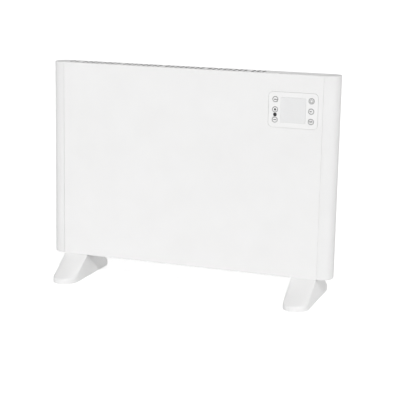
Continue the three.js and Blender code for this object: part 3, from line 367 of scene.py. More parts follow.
def noise(nodes, links, scale, detail, stretch=(1, 1, 1)):
    """A noise in the object's own frame; scale is cycles per metre."""
    place = nodes.new("ShaderNodeTexCoord")
    mapping = nodes.new("ShaderNodeMapping")
    mapping.inputs["Scale"].default_value = stretch
    links.new(place.outputs["Object"], mapping.inputs["Vector"])
    texture = nodes.new("ShaderNodeTexNoise")
    texture.inputs["Scale"].default_value = scale
    texture.inputs["Detail"].default_value = detail
    links.new(mapping.outputs[0], texture.inputs["Vector"])
    return texture.outputs["Fac"]


def blend_range(nodes, links, factor, low, high):
    scaled = nodes.new("ShaderNodeMapRange")
    scaled.inputs["From Min"].default_value = NOISE_LOW
    scaled.inputs["From Max"].default_value = NOISE_HIGH
    scaled.inputs["To Min"].default_value = low
    scaled.inputs["To Max"].default_value = high
    links.new(factor, scaled.inputs["Value"])
    return scaled.outputs[0]


def within(nodes, links, axis, low, high):
    """1 where the object's own coordinate along an axis lies between two places in mm."""
    place = nodes.new("ShaderNodeTexCoord")
    split = nodes.new("ShaderNodeSeparateXYZ")
    links.new(place.outputs["Object"], split.inputs[0])
    compare = nodes.new("ShaderNodeMath")
    compare.operation = "COMPARE"
    compare.inputs[1].default_value = (low + high) / 2 / METRE
    compare.inputs[2].default_value = (high - low) / 2 / METRE
    links.new(split.outputs[axis], compare.inputs[0])
    return compare.outputs[0]


def surface(name, dark, light, roughness, grain, depth, metallic=0.0, patch=14.0,
            stretch=(1, 1, 1), coat=0.0, specular=0.5, painted_inner_shade=None):
    """A finish with a slow drift of colour, a roughness that wanders and a fine grain.

    grain is the grain's cycles per metre and depth its height in millimetres; patch is the
    drift's cycles per metre. painted_inner_shade is a darker grey painted inside the casing: painted shade for the
    dark inside seen through the slots.
    """
    material = bpy.data.materials.new(name)
    material.use_nodes = True
    nodes = material.node_tree.nodes
    links = material.node_tree.links
    shader = nodes["Principled BSDF"]
    shader.inputs["Metallic"].default_value = metallic
    shader.inputs["Specular IOR Level"].default_value = specular
    shader.inputs["Coat Weight"].default_value = coat
    drift = noise(nodes, links, patch, 3.0)
    tint = nodes.new("ShaderNodeMix")
    tint.data_type = "RGBA"
    tint.inputs["A"].default_value = dark
    tint.inputs["B"].default_value = light
    links.new(blend_range(nodes, links, drift, 0.0, 1.0), tint.inputs["Factor"])
    colour = tint.outputs["Result"]
    # Inside the casing the colour turns to a darker grey: painted shade, standing in for the shade inside the
    # slots.
    if painted_inner_shade:
        inside = nodes.new("ShaderNodeMath")
        inside.operation = "MULTIPLY"
        links.new(within(nodes, links, "Y", FRONT + SHEET / 2, REAR - SHEET / 2),
                  inside.inputs[0])
        links.new(within(nodes, links, "Z", BASE + SHEET / 2, TOP - SHEET / 2),
                  inside.inputs[1])
        inner_shade_mix = nodes.new("ShaderNodeMix")
        inner_shade_mix.data_type = "RGBA"
        inner_shade_mix.inputs["B"].default_value = painted_inner_shade
        links.new(inside.outputs[0], inner_shade_mix.inputs["Factor"])
        links.new(colour, inner_shade_mix.inputs["A"])
        colour = inner_shade_mix.outputs["Result"]
    links.new(colour, shader.inputs["Base Color"])
    worn = noise(nodes, links, patch * 4, 2.0, stretch)
    wandering = blend_range(nodes, links, worn, roughness - ROUGHNESS_WANDER,
                            roughness + ROUGHNESS_WANDER)
    links.new(wandering, shader.inputs["Roughness"])
    fine = noise(nodes, links, grain, 2.0, stretch)
    bump = nodes.new("ShaderNodeBump")
    bump.inputs["Strength"].default_value = 1.0
    bump.inputs["Distance"].default_value = depth / METRE
    links.new(fine, bump.inputs["Height"])
    links.new(bump.outputs[0], shader.inputs["Normal"])
    return material


def make_materials():
    finishes = {
        # The panel paint is a darker grey inside the casing: painted shade for the inside seen through the slots.
        "panel_paint": dict(dark=grey(0.865, 0.003), light=grey(0.885, 0.002), roughness=0.48,
                            grain=900.0, depth=0.010, specular=0.25, painted_inner_shade=grey(0.30)),
        "cap_plastic": dict(dark=grey(0.845, 0.002), light=grey(0.865, 0.002), roughness=0.42,
                            grain=1900.0, depth=0.008, specular=0.25),
        "pale_plastic": dict(dark=grey(0.885, 0.002), light=grey(0.905, 0.002), roughness=0.42,
                             grain=1900.0, depth=0.008, specular=0.25),
        "key_plastic": dict(dark=grey(0.875, 0.002), light=grey(0.895, 0.002), roughness=0.38,
                            grain=2600.0, depth=0.004),
        "window": dict(dark=grey(0.820, -0.002), light=grey(0.835, -0.002), roughness=0.14,
                       grain=700.0, depth=0.002, coat=0.3),
        "dark_lens": dict(dark=grey(0.010), light=grey(0.016), roughness=0.10,
                          grain=900.0, depth=0.002, coat=0.5),
        "dark_plastic": dict(dark=grey(0.022), light=grey(0.034), roughness=0.45,
                             grain=2200.0, depth=0.012),
        "screw_steel": dict(dark=grey(0.50, 0.01), light=grey(0.62, 0.01), roughness=0.30,
                            grain=1500.0, depth=0.006, metallic=1.0),
        "zinc_sheet": dict(dark=grey(0.40, -0.02), light=grey(0.56, -0.01), roughness=0.38,
                           grain=500.0, depth=0.010, metallic=1.0, patch=60.0),
        "aluminium": dict(dark=grey(0.56), light=grey(0.66), roughness=0.34,
                          grain=1200.0, depth=0.008, metallic=1.0, stretch=(0.05, 1, 1)),
        "ceramic": dict(dark=grey(0.66, 0.06), light=grey(0.74, 0.05), roughness=0.55,
                        grain=1600.0, depth=0.014),
        "circuit_board": dict(dark=(0.03, 0.15, 0.06, 1), light=(0.05, 0.21, 0.09, 1),
                              roughness=0.35, grain=800.0, depth=0.010, patch=90.0),
        "relay_plastic": dict(dark=(0.04, 0.13, 0.36, 1), light=(0.06, 0.18, 0.44, 1),
                              roughness=0.40, grain=2000.0, depth=0.006),
        "ink": dict(dark=grey(0.030), light=grey(0.050), roughness=0.55,
                    grain=2400.0, depth=0.003, patch=900.0),
        "ring_ink": dict(dark=grey(0.12), light=grey(0.16), roughness=0.55,
                         grain=2400.0, depth=0.003, patch=900.0),
    }
    return {name: surface(name, **values) for name, values in finishes.items()}


# ---- Solids ----
#
# A shape is a pair of points in millimetres and faces. solid() makes one object of several.
# Most shapes that cut reach a millimetre past what they cut.

def solid(name, *shapes):
    """A mesh object from closed shapes, scaled to metres, with its faces turned outwards.

    Twisted faces are split, so that every face is flat and the cuts stay exact.
    """
    points = []
    faces = []
    for shape_points, shape_faces in shapes:
        first = len(points)
        points += [tuple(Vector(point) / METRE) for point in shape_points]
        faces += [tuple(first + corner for corner in face) for face in shape_faces]
    mesh = bpy.data.meshes.new(name)
    mesh.from_pydata(points, [], faces)
    net = bmesh.new()
    net.from_mesh(mesh)
    bmesh.ops.remove_doubles(net, verts=net.verts, dist=SAME_POINT / METRE)
    bmesh.ops.connect_verts_nonplanar(net, angle_limit=FLAT_ANGLE, faces=net.faces)
    bmesh.ops.recalc_face_normals(net, faces=net.faces)
    net.to_mesh(mesh)
    net.free()
    piece = bpy.data.objects.new(name, mesh)
    bpy.context.scene.collection.objects.link(piece)
    return piece


def loft(rings):
    """A closed skin through rings of equal length, with a flat face at each end."""
    count = len(rings[0])
    points = [point for ring in rings for point in ring]
    faces = [tuple(range(count)), tuple(range(len(points) - 1, len(points) - count - 1, -1))]
    for level in range(len(rings) - 1):
        for i in range(count):
            a = level * count + i
            b = level * count + (i + 1) % count
            faces.append((a, b, b + count, a + count))
    return points, faces


def to_space(axis, u, v, along):
    """A point from outline coordinates: the outline's plane lies across the axis."""
    return {"x": (along, u, v), "y": (u, along, v), "z": (u, v, along)}[axis]


def sweep(outline, axis, start, end):
    return loft([[to_space(axis, u, v, along) for u, v in outline] for along in (start, end)])


def turn(profile, axis, centre, segments=RIM_STEPS, closed=False):
    """A profile of (radius, distance along the axis) turned about an axis through centre."""
    count = len(profile)
    points = []
    for i in range(segments):
        angle = 2 * math.pi * i / segments
        for radius, along in profile:
            spoke = to_space(axis, radius * math.cos(angle), radius * math.sin(angle), along)
            points.append(tuple(Vector(spoke) + Vector(centre)))
    faces = []
    for i in range(segments):
        for k in range(count if closed else count - 1):
            here = i * count
            ahead = ((i + 1) % segments) * count
            after = (k + 1) % count
            faces.append((here + k, here + after, ahead + after, ahead + k))
    return points, faces


def block(low, high):
    (x0, y0, z0), (x1, y1, z1) = low, high
    return loft([[(x0, y0, z), (x1, y0, z), (x1, y1, z), (x0, y1, z)] for z in (z0, z1)])


def apply_modifiers(piece):
    graph = bpy.context.evaluated_depsgraph_get()
    mesh = bpy.data.meshes.new_from_object(piece.evaluated_get(graph))
    piece.modifiers.clear()
    old = piece.data
    piece.data = mesh
    bpy.data.meshes.remove(old)


def combine(piece, groups, operation):
    """Joins, cuts or limits a piece by groups of shapes; shapes of one group lie apart."""
    tools = [solid("tool", *group) for group in groups]
    for tool in tools:
        step = piece.modifiers.new("combine", "BOOLEAN")
        step.operation = operation
        step.solver = "EXACT"
        step.object = tool
    bpy.context.view_layer.update()
    apply_modifiers(piece)
    for tool in tools:
        mesh = tool.data
        bpy.data.objects.remove(tool)
        bpy.data.meshes.remove(mesh)


def cut(piece, *groups):
    combine(piece, groups, "DIFFERENCE")


def join(piece, *groups):
    combine(piece, groups, "UNION")


def keep_inside(piece, *groups):
    combine(piece, groups, "INTERSECT")


def drop_short_edges(piece):
    """Closes the very short edges that the cuts leave, which would fold a bevel over."""
    net = bmesh.new()
    net.from_mesh(piece.data)
    bmesh.ops.dissolve_degenerate(net, dist=SHORT_EDGE / METRE, edges=net.edges)
    net.to_mesh(piece.data)
    net.free()
    return piece


def shape_of(piece):
    """Takes an object apart into a shape in millimetres, to use it in another one."""
    mesh = piece.data
    points = [tuple(vertex.co * METRE) for vertex in mesh.vertices]
    faces = [tuple(polygon.vertices) for polygon in mesh.polygons]
    bpy.data.objects.remove(piece)
    bpy.data.meshes.remove(mesh)
    return points, faces


def soften(piece, width=0.0, segments=2, angle=32.0):
    """Shades the faces smoothly and rounds the edges, if a width in millimetres is given."""
    for polygon in piece.data.polygons:
        polygon.use_smooth = True
    if width:
        bevel = piece.modifiers.new("soft edges", "BEVEL")
        bevel.width = width / METRE
        bevel.segments = segments
        bevel.limit_method = "ANGLE"
        bevel.angle_limit = math.radians(angle)
        bevel.miter_outer = "MITER_ARC"
    normals = piece.modifiers.new("even shading", "WEIGHTED_NORMAL")
    normals.keep_sharp = True


def dress(piece, material, body, replaced=()):
    """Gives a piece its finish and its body."""
    piece.data.materials.clear()
    piece.data.materials.append(MATERIALS[material])
    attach(piece, body)
    if replaced:
        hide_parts(*replaced)


# ---- Outlines ----

def arc(cx, cy, rx, ry, start, end, steps):
    angles = [math.radians(start + (end - start) * i / steps) for i in range(steps + 1)]
    return [(cx + rx * math.cos(a), cy + ry * math.sin(a)) for a in angles]


def circle(cx, cy, radius, steps=HOLE_STEPS):
    return arc(cx, cy, radius, radius, 0, 360, steps)[:-1]


def rectangle(cx, cy, width, height):
    corners = ((-1, -1), (1, -1), (1, 1), (-1, 1))
    return [(cx + sx * width / 2, cy + sy * height / 2) for sx, sy in corners]


def rounded_rectangle(cx, cy, width, height, radius, steps=12):
    x = width / 2 - radius
    y = height / 2 - radius
    return (arc(cx + x, cy - y, radius, radius, -90, 0, steps)
            + arc(cx + x, cy + y, radius, radius, 0, 90, steps)
            + arc(cx - x, cy + y, radius, radius, 90, 180, steps)
            + arc(cx - x, cy - y, radius, radius, 180, 270, steps))


def slot(cx, cy, width, length, steps=12):
    """A slot with round ends, long in its second coordinate."""
    reach = (length - width) / 2
    return (arc(cx, cy + reach, width / 2, width / 2, 0, 180, steps)
            + arc(cx, cy - reach, width / 2, width / 2, 180, 360, steps))


def round_corners(corners, steps=8):
    """Rounds the corners of a closed outline. A corner is (x, y, radius)."""
    points = []
    for i, (x, y, radius) in enumerate(corners):
        corner = Vector((x, y))
        if not radius:
            points.append((x, y))
            continue
        back = (Vector(corners[i - 1][:2]) - corner).normalized()
        ahead = (Vector(corners[(i + 1) % len(corners)][:2]) - corner).normalized()
        half = back.angle(ahead) / 2
        start = corner + back * (radius / math.tan(half))
        end = corner + ahead * (radius / math.tan(half))
        middle = corner + (back + ahead).normalized() * (radius / math.sin(half))
        first = start - middle
        sweep_angle = -first.angle_signed(end - middle)
        for k in range(steps + 1):
            turned = first.copy()
            turned.rotate(Matrix.Rotation(sweep_angle * k / steps, 2))
            points.append(tuple(middle + turned))
    return points


def super_point(degrees, roundness):
    """A quarter of a superellipse as a unit curve: 0 degrees lies on x, 90 on y."""
    angle = math.radians(degrees)
    power = 2 / roundness
    return tuple(math.copysign(abs(value) ** power, value) if abs(value) > 1e-9 else 0.0
                 for value in (math.cos(angle), math.sin(angle)))


# ---- Casing ----

def slot_centres():
    centres = []
    groups = math.ceil(2 * SEAM / GROUP_PITCH)
    for group in range(-groups, groups + 1):
        for i in range(SLOTS_PER_GROUP):
            x = GROUP_OFFSET + group * GROUP_PITCH + i * SLOT_PITCH
            if OUTLET_LEFT < x - SLOT_WIDTH / 2 and x + SLOT_WIDTH / 2 < OUTLET_RIGHT:
                centres.append(x)
    return centres


def intake_centres():
    count = int((INTAKE_RIGHT - INTAKE_LEFT - INTAKE_WIDTH) // INTAKE_PITCH) + 1
    return [INTAKE_LEFT + INTAKE_WIDTH / 2 + i * INTAKE_PITCH for i in range(count)]


def panel_section():
    lip_rear = PANEL_HIGH.y
    lip_front = lip_rear - SHEET
    inner = BEND_RADIUS - SHEET
    return round_corners([
        (lip_rear, TOP - LIP_DEPTH, 0),
        (lip_rear, TOP, BEND_RADIUS),
        (FRONT, TOP, BEND_RADIUS),
        (FRONT, BASE, BEND_RADIUS),
        (lip_rear, BASE, BEND_RADIUS),
        (lip_rear, BASE + LIP_DEPTH, 0),
        (lip_front, BASE + LIP_DEPTH, 0),
        (lip_front, BASE + SHEET, inner),
        (FRONT + SHEET, BASE + SHEET, inner),
        (FRONT + SHEET, TOP - SHEET, inner),
        (lip_front, TOP - SHEET, inner),
        (lip_front, TOP - LIP_DEPTH, 0),
    ])


def screw_centres(prefix):
    """The middles of a family of CAD screws, in millimetres."""
    return [cad_centre(name) for name in sorted(frame["nodes"]) if name.startswith(prefix)]


def make_front_panel():
    panel = solid("front_panel_fine", sweep(panel_section(), "x", PANEL_LOW.x, PANEL_HIGH.x))
    outlet = [sweep(slot(x, 0, SLOT_WIDTH, SLOT_LENGTH), "z", TOP - 2 * SHEET, TOP + SHEET)
              for x in slot_centres()]
    intake = [sweep(slot(x, 0, INTAKE_WIDTH, SLOT_LENGTH), "z", BASE - SHEET, BASE + 2 * SHEET)
              for x in intake_centres()]
    window = [sweep(control_outline(GAP), "y", FRONT - SHEET, FRONT + 2 * SHEET)]
    feet = [sweep(circle(c.x, c.y, SCREW_HOLE), "z", BASE - SHEET, BASE + 2 * SHEET)
            for c in screw_centres("foot_screw")]
    lips = [sweep(circle(c.x, c.z, SCREW_HOLE), "y", PANEL_HIGH.y - 2 * SHEET,
                  PANEL_HIGH.y + SHEET) for c in screw_centres("cover_screw")]
    cut(panel, outlet, intake, window, feet, lips)
    soften(panel, width=0.22)
    dress(panel, "panel_paint", "body", ["front_panel"])


def louvre_dome(x, z, radius, half_length):
    """A long half dome about a line along X, on the inner face of the cover."""
    straight = half_length - radius
    angles = [math.pi / 2 * i / LOUVRE_STEPS for i in range(1, LOUVRE_STEPS + 1)]
    start = [(radius * math.sin(a), -straight - radius * math.cos(a)) for a in angles]
    end = [(radius * math.sin(a), straight + radius * math.cos(a)) for a in angles[::-1]]
    profile = [(0, -half_length)] + start + end + [(0, half_length)]
    return turn(profile, "x", (x, REAR - SHEET, z), TURN_STEPS)


def louvre_places():
    middle = sum(cad_box("heating_element"), Vector()).x / 2
    return [(middle + (column - (LOUVRE_COLUMNS - 1) / 2) * LOUVRE_PITCH,
             BASE + LOUVRE_HEIGHT + row * LOUVRE_ROW_PITCH)
            for column in range(LOUVRE_COLUMNS) for row in range(LOUVRE_ROWS)]


def louvre_shape(radius, half_length, inside, below):
    """All the domes of one size, kept above their openings and outside the plane inside."""
    domes = solid("domes", *(louvre_dome(x, z, radius, half_length) for x, z in louvre_places()))
    heights = sorted({z for _, z in louvre_places()})
    limits = [block((-SEAM, inside, z - below),
                    (SEAM, REAR + 2 * LOUVRE_RISE, z + 2 * LOUVRE_RISE)) for z in heights]
    keep_inside(domes, limits)
    return shape_of(domes)


def keyhole_outline(x, z):
    """A round head with a neck above it, as one outline."""
    meet = math.degrees(math.asin(KEYHOLE_NECK / KEYHOLE_HEAD))
    head = arc(x, z, KEYHOLE_HEAD, KEYHOLE_HEAD, 90 + meet, 450 - meet, 30)
    neck = arc(x, z + KEYHOLE_TRAVEL, KEYHOLE_NECK, KEYHOLE_NECK, 0, 180, 16)
    return head + neck


def make_rear_cover():
    through = (REAR - 2 * SHEET, REAR + SHEET)
    middle_z = (COVER_LOW.z + COVER_HIGH.z) / 2
    plate = rounded_rectangle(0, middle_z, COVER_HIGH.x - COVER_LOW.x, COVER_HIGH.z - COVER_LOW.z,
                              BEND_RADIUS)
    cover = solid("rear_cover_fine", sweep(plate, "y", REAR - SHEET, REAR))
    join(cover, [louvre_shape(LOUVRE_RISE + SHEET, LOUVRE_LENGTH / 2, REAR - SHEET, 0)])
    hollows = louvre_shape(LOUVRE_RISE + SHEET - LOUVRE_SKIN, LOUVRE_LENGTH / 2 - LOUVRE_SKIN,
                           REAR - 2 * SHEET, LOUVRE_SKIN)
    board_low, board_high = cad_box("power_board")
    inset = 2 * STANDOFF_RADIUS
    standoffs = [sweep(circle(x, z, STANDOFF_RADIUS), "y", COVER_LOW.y, REAR - SHEET / 2)
                 for x in (board_low.x + inset, board_high.x - inset)
                 for z in (board_low.z + inset, board_high.z - inset)]
    join(cover, standoffs)
    screws = [sweep(circle(c.x, c.z, SCREW_HOLE), "y", *through)
              for c in screw_centres("cover_screw") + screw_centres("cap_screw")]
    keyholes = [sweep(keyhole_outline(x, TOP - KEYHOLE_DROP), "y", *through)
                for x in (-KEYHOLE_SPACING / 2, KEYHOLE_SPACING / 2)]
    gland = cad_centre("cord_gland")
    switch = cad_centre("switch_housing")
    openings = [sweep(circle(gland.x, gland.z, GLAND_NECK + GAP, RIM_STEPS), "y", *through),
                sweep(rectangle(switch.x, switch.z, SWITCH_WIDTH + 2 * GAP,
                                SWITCH_HEIGHT + 2 * GAP), "y", *through)]
    cut(cover, [hollows], screws, keyholes, openings)
    soften(drop_short_edges(cover), width=0.2)
    dress(cover, "panel_paint", "body", ["rear_cover"])


# ---- End caps ----

def cap_ring(side, inset, z, steps):
    start = SEAM + SEAM_EASE[side]
    reach = CAP_REACH - SEAM_EASE[side] - inset
    ring = []
    for i in range(steps + 1):
        x, y = super_point(-90 + 180 * i / steps, CAP_ROUNDNESS)
        ring.append((side * (start + reach * x), (BODY_DEPTH / 2 - inset) * y, z))
    return ring


def cap_skin(side, wall, low, high, low_round, high_round, steps, round_steps):
    """The outer or inner skin of an end cap, with a rounded bottom edge and top edge."""
    angles = [math.pi / 2 * i / round_steps for i in range(round_steps + 1)]
    bottom = [cap_ring(side, wall + low_round * (1 - math.sin(a)),
                       low + low_round * (1 - math.cos(a)), steps) for a in angles]
    top = [cap_ring(side, wall + high_round * (1 - math.cos(a)),
                    high - high_round * (1 - math.sin(a)), steps) for a in angles]
    return loft(bottom + top)


def span_x(xa, xb, low, high):
    """A block between two places along X in either order, with (Y, Z) corners low and high."""
    return block((min(xa, xb), *low), (max(xa, xb), *high))


def make_end_cap(name, side):
    low = BASE + CAP_RISE
    cap = solid(name + "_fine", cap_skin(side, 0, low, TOP, CAP_BOTTOM_ROUND, BEND_RADIUS,
                                         *CAP_STEPS))
    hollow = solid("hollow", cap_skin(side, CAP_WALL, low + CAP_WALL, TOP - CAP_WALL,
                                      CAP_INNER_ROUND, CAP_INNER_ROUND, *CAP_INNER_STEPS))
    keep_inside(hollow, [span_x(side * (SEAM + CAP_WALL), side * (SEAM + CAP_REACH),
                                (FRONT, low), (REAR, TOP))])
    mouth = span_x(side * (SEAM - 1), side * (SEAM + CAP_WALL + 0.5),
                   (FRONT + CAP_RIM, low + CAP_RIM), (REAR - CAP_RIM, TOP - CAP_RIM))
    cut(cap, [shape_of(hollow)], [mouth])
    tongue_low = (FRONT + SHEET + GAP, BASE + SHEET + GAP)
    tongue_high = (PANEL_HIGH.y - SHEET - GAP, TOP - SHEET - GAP)
    centre = [(a + b) / 2 for a, b in zip(tongue_low, tongue_high)]
    size = [b - a for a, b in zip(tongue_low, tongue_high)]
    start, end = side * (SEAM - GAP - TONGUE_REACH), side * (SEAM + 1)
    tongue = solid("tongue", sweep(rounded_rectangle(*centre, *size, BEND_RADIUS), "x",
                                   start, end))
    well = rounded_rectangle(*centre, *(s - 2 * TONGUE_WALL for s in size), CAP_INNER_ROUND)
    cut(tongue, [sweep(well, "x", start - side, end + side)])
    join(cap, [shape_of(tongue)])
    screws = [c for c in screw_centres("cap_screw") if c.x * side > 0]
    boss_end = tongue_high[0]
    boss_start = boss_end - CAP_BOSS_DEPTH
    bosses = [sweep(circle(c.x, c.z, CAP_BOSS_RADIUS, BOSS_STEPS), "y", boss_start, boss_end)
              for c in screws]
    webs = [span_x(c.x, end, (boss_start, c.z - TONGUE_WALL / 2),
                   (boss_end, c.z + TONGUE_WALL / 2)) for c in screws]
    join(cap, bosses, webs)
    cut(cap, [sweep(circle(c.x, c.z, SCREW_HOLE), "y", boss_start + TONGUE_WALL, REAR)
              for c in screws])
    soften(drop_short_edges(cap), width=0.25)
    dress(cap, "cap_plastic", "body", [name])


# ---- Feet ----

def foot_levels(low, lip, high, edge, ridge, steps):
    """Levels up the foot: the share of the way back to the body, the height and the inset.

    A small round at the floor, the upright lip, the rounded shoulder and the long slope, the
    last two in steps, because long twisted faces would show as fine lines.
    """
    run = (FOOT_LENGTH - BODY_DEPTH) / 2
    shoulder_turn = math.pi / 2 - math.atan2(high - lip, run)
    start = lip - FOOT_SHOULDER * math.tan(shoulder_turn / 2)
    levels = [(0, low, edge), (0, low + 0.3 * edge, 0.3 * edge), (0, low + edge, 0)]
    for i in range(steps + 1):
        angle = shoulder_turn * i / steps
        levels.append((FOOT_SHOULDER * (1 - math.cos(angle)) / run,
                       start + FOOT_SHOULDER * math.sin(angle), 0))
    foot_of_slope = Vector(levels[-1])
    top_of_slope = Vector((1 + ridge / (high - lip), high + ridge, 0))
    return levels + [foot_of_slope.lerp(top_of_slope, (i + 1) / steps) for i in range(steps)]


def foot_skin(centre_x, inset, low, lip, high, edge, ridge, nose_steps, slope_steps):
    """The outer or inner skin of a foot: its nose curve is drawn back to a straight edge."""
    nose_start = FOOT_LENGTH / 2 - FOOT_NOSE
    rings = []
    for share, height, level_inset in foot_levels(low, lip, high, edge, ridge, slope_steps):
        margin = inset + level_inset
        ring = []
        for end in (1, -1):
            for i in range(2 * nose_steps + 1):
                x, y = super_point(90 * i / nose_steps, FOOT_ROUNDNESS)
                full = nose_start + (FOOT_NOSE - margin) * y
                drawn = BODY_DEPTH / 2 - margin
                ring.append((centre_x + end * (FOOT_WIDTH / 2 - margin) * x,
                             end * (full + (drawn - full) * share), height))
        rings.append(ring)
    return loft(rings)


def foot_seat(centre_x):
    """The space that the body takes above a foot: round where the panel bends at the front."""
    outline = round_corners([
        (FRONT - FINE_GAP, BASE - FINE_GAP, BEND_RADIUS + FINE_GAP),
        (0, BASE - FINE_GAP, 0),
        (0, BASE - GAP, 0),
        (REAR + GAP, BASE - GAP, 0),
        (REAR + GAP, TOP, 0),
        (FRONT - FINE_GAP, TOP, 0),
    ])
    return sweep(outline, "x", centre_x - FOOT_WIDTH, centre_x + FOOT_WIDTH)


def make_foot(name, centre_x):
    foot = solid(name + "_fine", foot_skin(centre_x, 0, 0, FOOT_LIP, FOOT_TOP, FOOT_EDGE,
                                           FOOT_RIDGE, *FOOT_STEPS))
    cut(foot, [foot_skin(centre_x, FOOT_WALL, -FOOT_WALL, FOOT_LIP - FOOT_WALL / 2,
                         FOOT_TOP - FOOT_WALL, FOOT_INNER_EDGE, 0, *FOOT_INNER_STEPS)])
    groove_start = FRONT + FOOT_GROOVE_INSET
    groove = block((centre_x - FOOT_WIDTH, groove_start, FOOT_TOP - FOOT_GROOVE_DEPTH),
                   (centre_x + FOOT_WIDTH, groove_start + FOOT_GROOVE_LENGTH, TOP))
    cut(foot, [groove], [foot_seat(centre_x)])
    rib_top = FOOT_TOP - FOOT_WALL * 0.9
    ribs = solid("ribs", block((centre_x - FOOT_RIB / 2, -FOOT_LENGTH / 2, FOOT_RIB_LIFT),
                               (centre_x + FOOT_RIB / 2, FOOT_LENGTH / 2, rib_top)))
    rib_places = [end * y for end in (-1, 1) for y in (REAR, FOOT_LENGTH / 2 - FOOT_NOSE)]
    join(ribs, [block((centre_x - FOOT_WIDTH / 2, y - FOOT_RIB / 2, FOOT_RIB_LIFT),
                      (centre_x + FOOT_WIDTH / 2, y + FOOT_RIB / 2, rib_top)) for y in rib_places])
    keep_inside(ribs, [foot_skin(centre_x, FOOT_WALL / 2, 0, FOOT_LIP - FOOT_WALL / 4,
                                 FOOT_TOP - FOOT_WALL / 2, FOOT_INNER_EDGE, 0, *FOOT_INNER_STEPS)])
    screws = [c for c in screw_centres("foot_screw") if c.x * centre_x > 0]
    boss_low = FOOT_TOP - FOOT_BOSS_DEPTH
    cut(ribs, [sweep(circle(c.x, c.y, FOOT_HEAD_ROOM), "z", 0, boss_low + 1) for c in screws])
    bosses = [sweep(circle(c.x, c.y, FOOT_BOSS_RADIUS, BOSS_STEPS), "z", boss_low, FOOT_TOP - 1)
              for c in screws]
    join(foot, [shape_of(ribs)], bosses)
    cut(foot, [sweep(circle(c.x, c.y, SCREW_HOLE), "z", boss_low - 1, FOOT_TOP + 1)
               for c in screws])
    soften(foot, width=0.3, angle=40.0)
    dress(foot, "pale_plastic", "body", [name])


# ---- Screws ----

def screw_profile(length):
    """A pan head screw along its own axis, its seat at 0 and its shank below."""
    head = arc(0, SCREW_HEAD_HEIGHT * SCREW_HEAD_SIDE, SCREW_HEAD,
               SCREW_HEAD_HEIGHT * (1 - SCREW_HEAD_SIDE), 90, 0, 8)
    thread = []
    core = SCREW_SHANK - THREAD_DEPTH
    for i in range(int((length - SCREW_PLAIN) / THREAD_PITCH)):
        z = -THREAD_START - i * THREAD_PITCH
        thread += [(core, z), (SCREW_SHANK, z - THREAD_PITCH * THREAD_LEAN)]
    return (head + [(SCREW_HEAD, 0), (SCREW_SHANK, 0), (SCREW_SHANK, -SCREW_NECK)] + thread
            + [(core, -length + SCREW_TIP), (0, -length)])


def cross_recess():
    """Two crossing tapered slots, sunk from the top of a screw's head."""
    levels = ((SCREW_HEAD_HEIGHT - RECESS_DEPTH, RECESS_TAPER), (SCREW_HEAD_HEIGHT + 0.2, 1))
    sides = ((RECESS_REACH, RECESS_WIDTH), (RECESS_WIDTH, RECESS_REACH))
    return [loft([[(*point, z) for point in rectangle(0, 0, 2 * share * x, 2 * share * y)]
                  for z, share in levels]) for x, y in sides]


def make_screw(name, seat, axis_turn):
    """A screw whose head points along +Z, turned by axis_turn and set at its seat."""
    low, high = cad_box(name)
    length = max(high - low) - SCREW_HEAD_HEIGHT
    screw = solid(name + "_fine", turn(screw_profile(length), "z", (0, 0, 0), TURN_STEPS))
    cut(screw, *([arm] for arm in cross_recess()))
    screw.data.transform(Matrix.Translation(Vector(seat) / METRE) @ axis_turn)
    soften(screw, width=0.08, angle=35.0)
    dress(screw, "screw_steel", "body", [name])


def make_screws():
    to_rear = Matrix.Rotation(-math.pi / 2, 4, "X")
    to_floor = Matrix.Rotation(math.pi, 4, "X")
    for name in sorted(frame["nodes"]):
        low, high = cad_box(name)
        middle = (low + high) / 2
        if name.startswith(("cap_screw", "cover_screw")):
            make_screw(name, (middle.x, high.y - SCREW_HEAD_HEIGHT, middle.z), to_rear)
        elif name.startswith("foot_screw"):
            make_screw(name, (middle.x, middle.y, low.z + SCREW_HEAD_HEIGHT), to_floor)


# ---- Control panel ----

def control_outline(margin):
    return rounded_rectangle(CONTROL_CENTRE.x, CONTROL_CENTRE.z, CONTROL_WIDTH + 2 * margin,
                             CONTROL_HEIGHT + 2 * margin, CONTROL_CORNER + margin)


def make_bezel():
    rear = FRONT + BEZEL_THICKNESS
    bezel = solid("control_bezel_fine", sweep(control_outline(-BEZEL_EASE), "y", FRONT, rear))
    inset = BEZEL_FLANGE + POST_INSET
    posts = [sweep(circle(x, z, POST_RADIUS), "y", rear - 1, BEZEL_HIGH.y)
             for x in (BEZEL_LOW.x + inset, BEZEL_HIGH.x - inset)
             for z in (BEZEL_LOW.z + inset, BEZEL_HIGH.z - inset)]
    join(bezel, [sweep(control_outline(BEZEL_FLANGE), "y", FRONT + SHEET + GAP, rear)], posts)
    keys = [cad_centre(name) for name in KEY_NAMES]
    eye = cad_centre("infrared_window")
    key_holes = [sweep(circle(c.x, c.z, KEY_RADIUS + GAP, FINE_STEPS), "y", FRONT - 1, rear + 1)
                 for c in keys]
    eye_hole = [sweep(circle(eye.x, eye.z, EYE_RADIUS + FINE_GAP, RIM_STEPS), "y",
                      FRONT - 1, rear + 1)]
    window = cad_centre("display_window")
    recess = rounded_rectangle(window.x, window.z, WINDOW_WIDTH, WINDOW_HEIGHT, WINDOW_CORNER)
    sight = rectangle(window.x, window.z, WINDOW_WIDTH - 2 * WINDOW_LEDGE,
                      WINDOW_HEIGHT - 2 * WINDOW_LEDGE)
    cut(bezel, key_holes, eye_hole,
        [sweep(recess, "y", FRONT - 1, FRONT + WINDOW_THICKNESS + GAP)],
        [sweep(sight, "y", FRONT, rear + 1)])
    soften(bezel, width=0.12)
    dress(bezel, "pale_plastic", "body", ["control_bezel"])


def make_window():
    centre = cad_centre("display_window")
    outline = rounded_rectangle(centre.x, centre.z, WINDOW_WIDTH - 2 * FINE_GAP,
                                WINDOW_HEIGHT - 2 * FINE_GAP, WINDOW_CORNER - FINE_GAP)
    window = solid("display_window_fine", sweep(outline, "y", FRONT, FRONT + WINDOW_THICKNESS))
    soften(window, width=0.06)
    dress(window, "window", "body", ["display_window"])


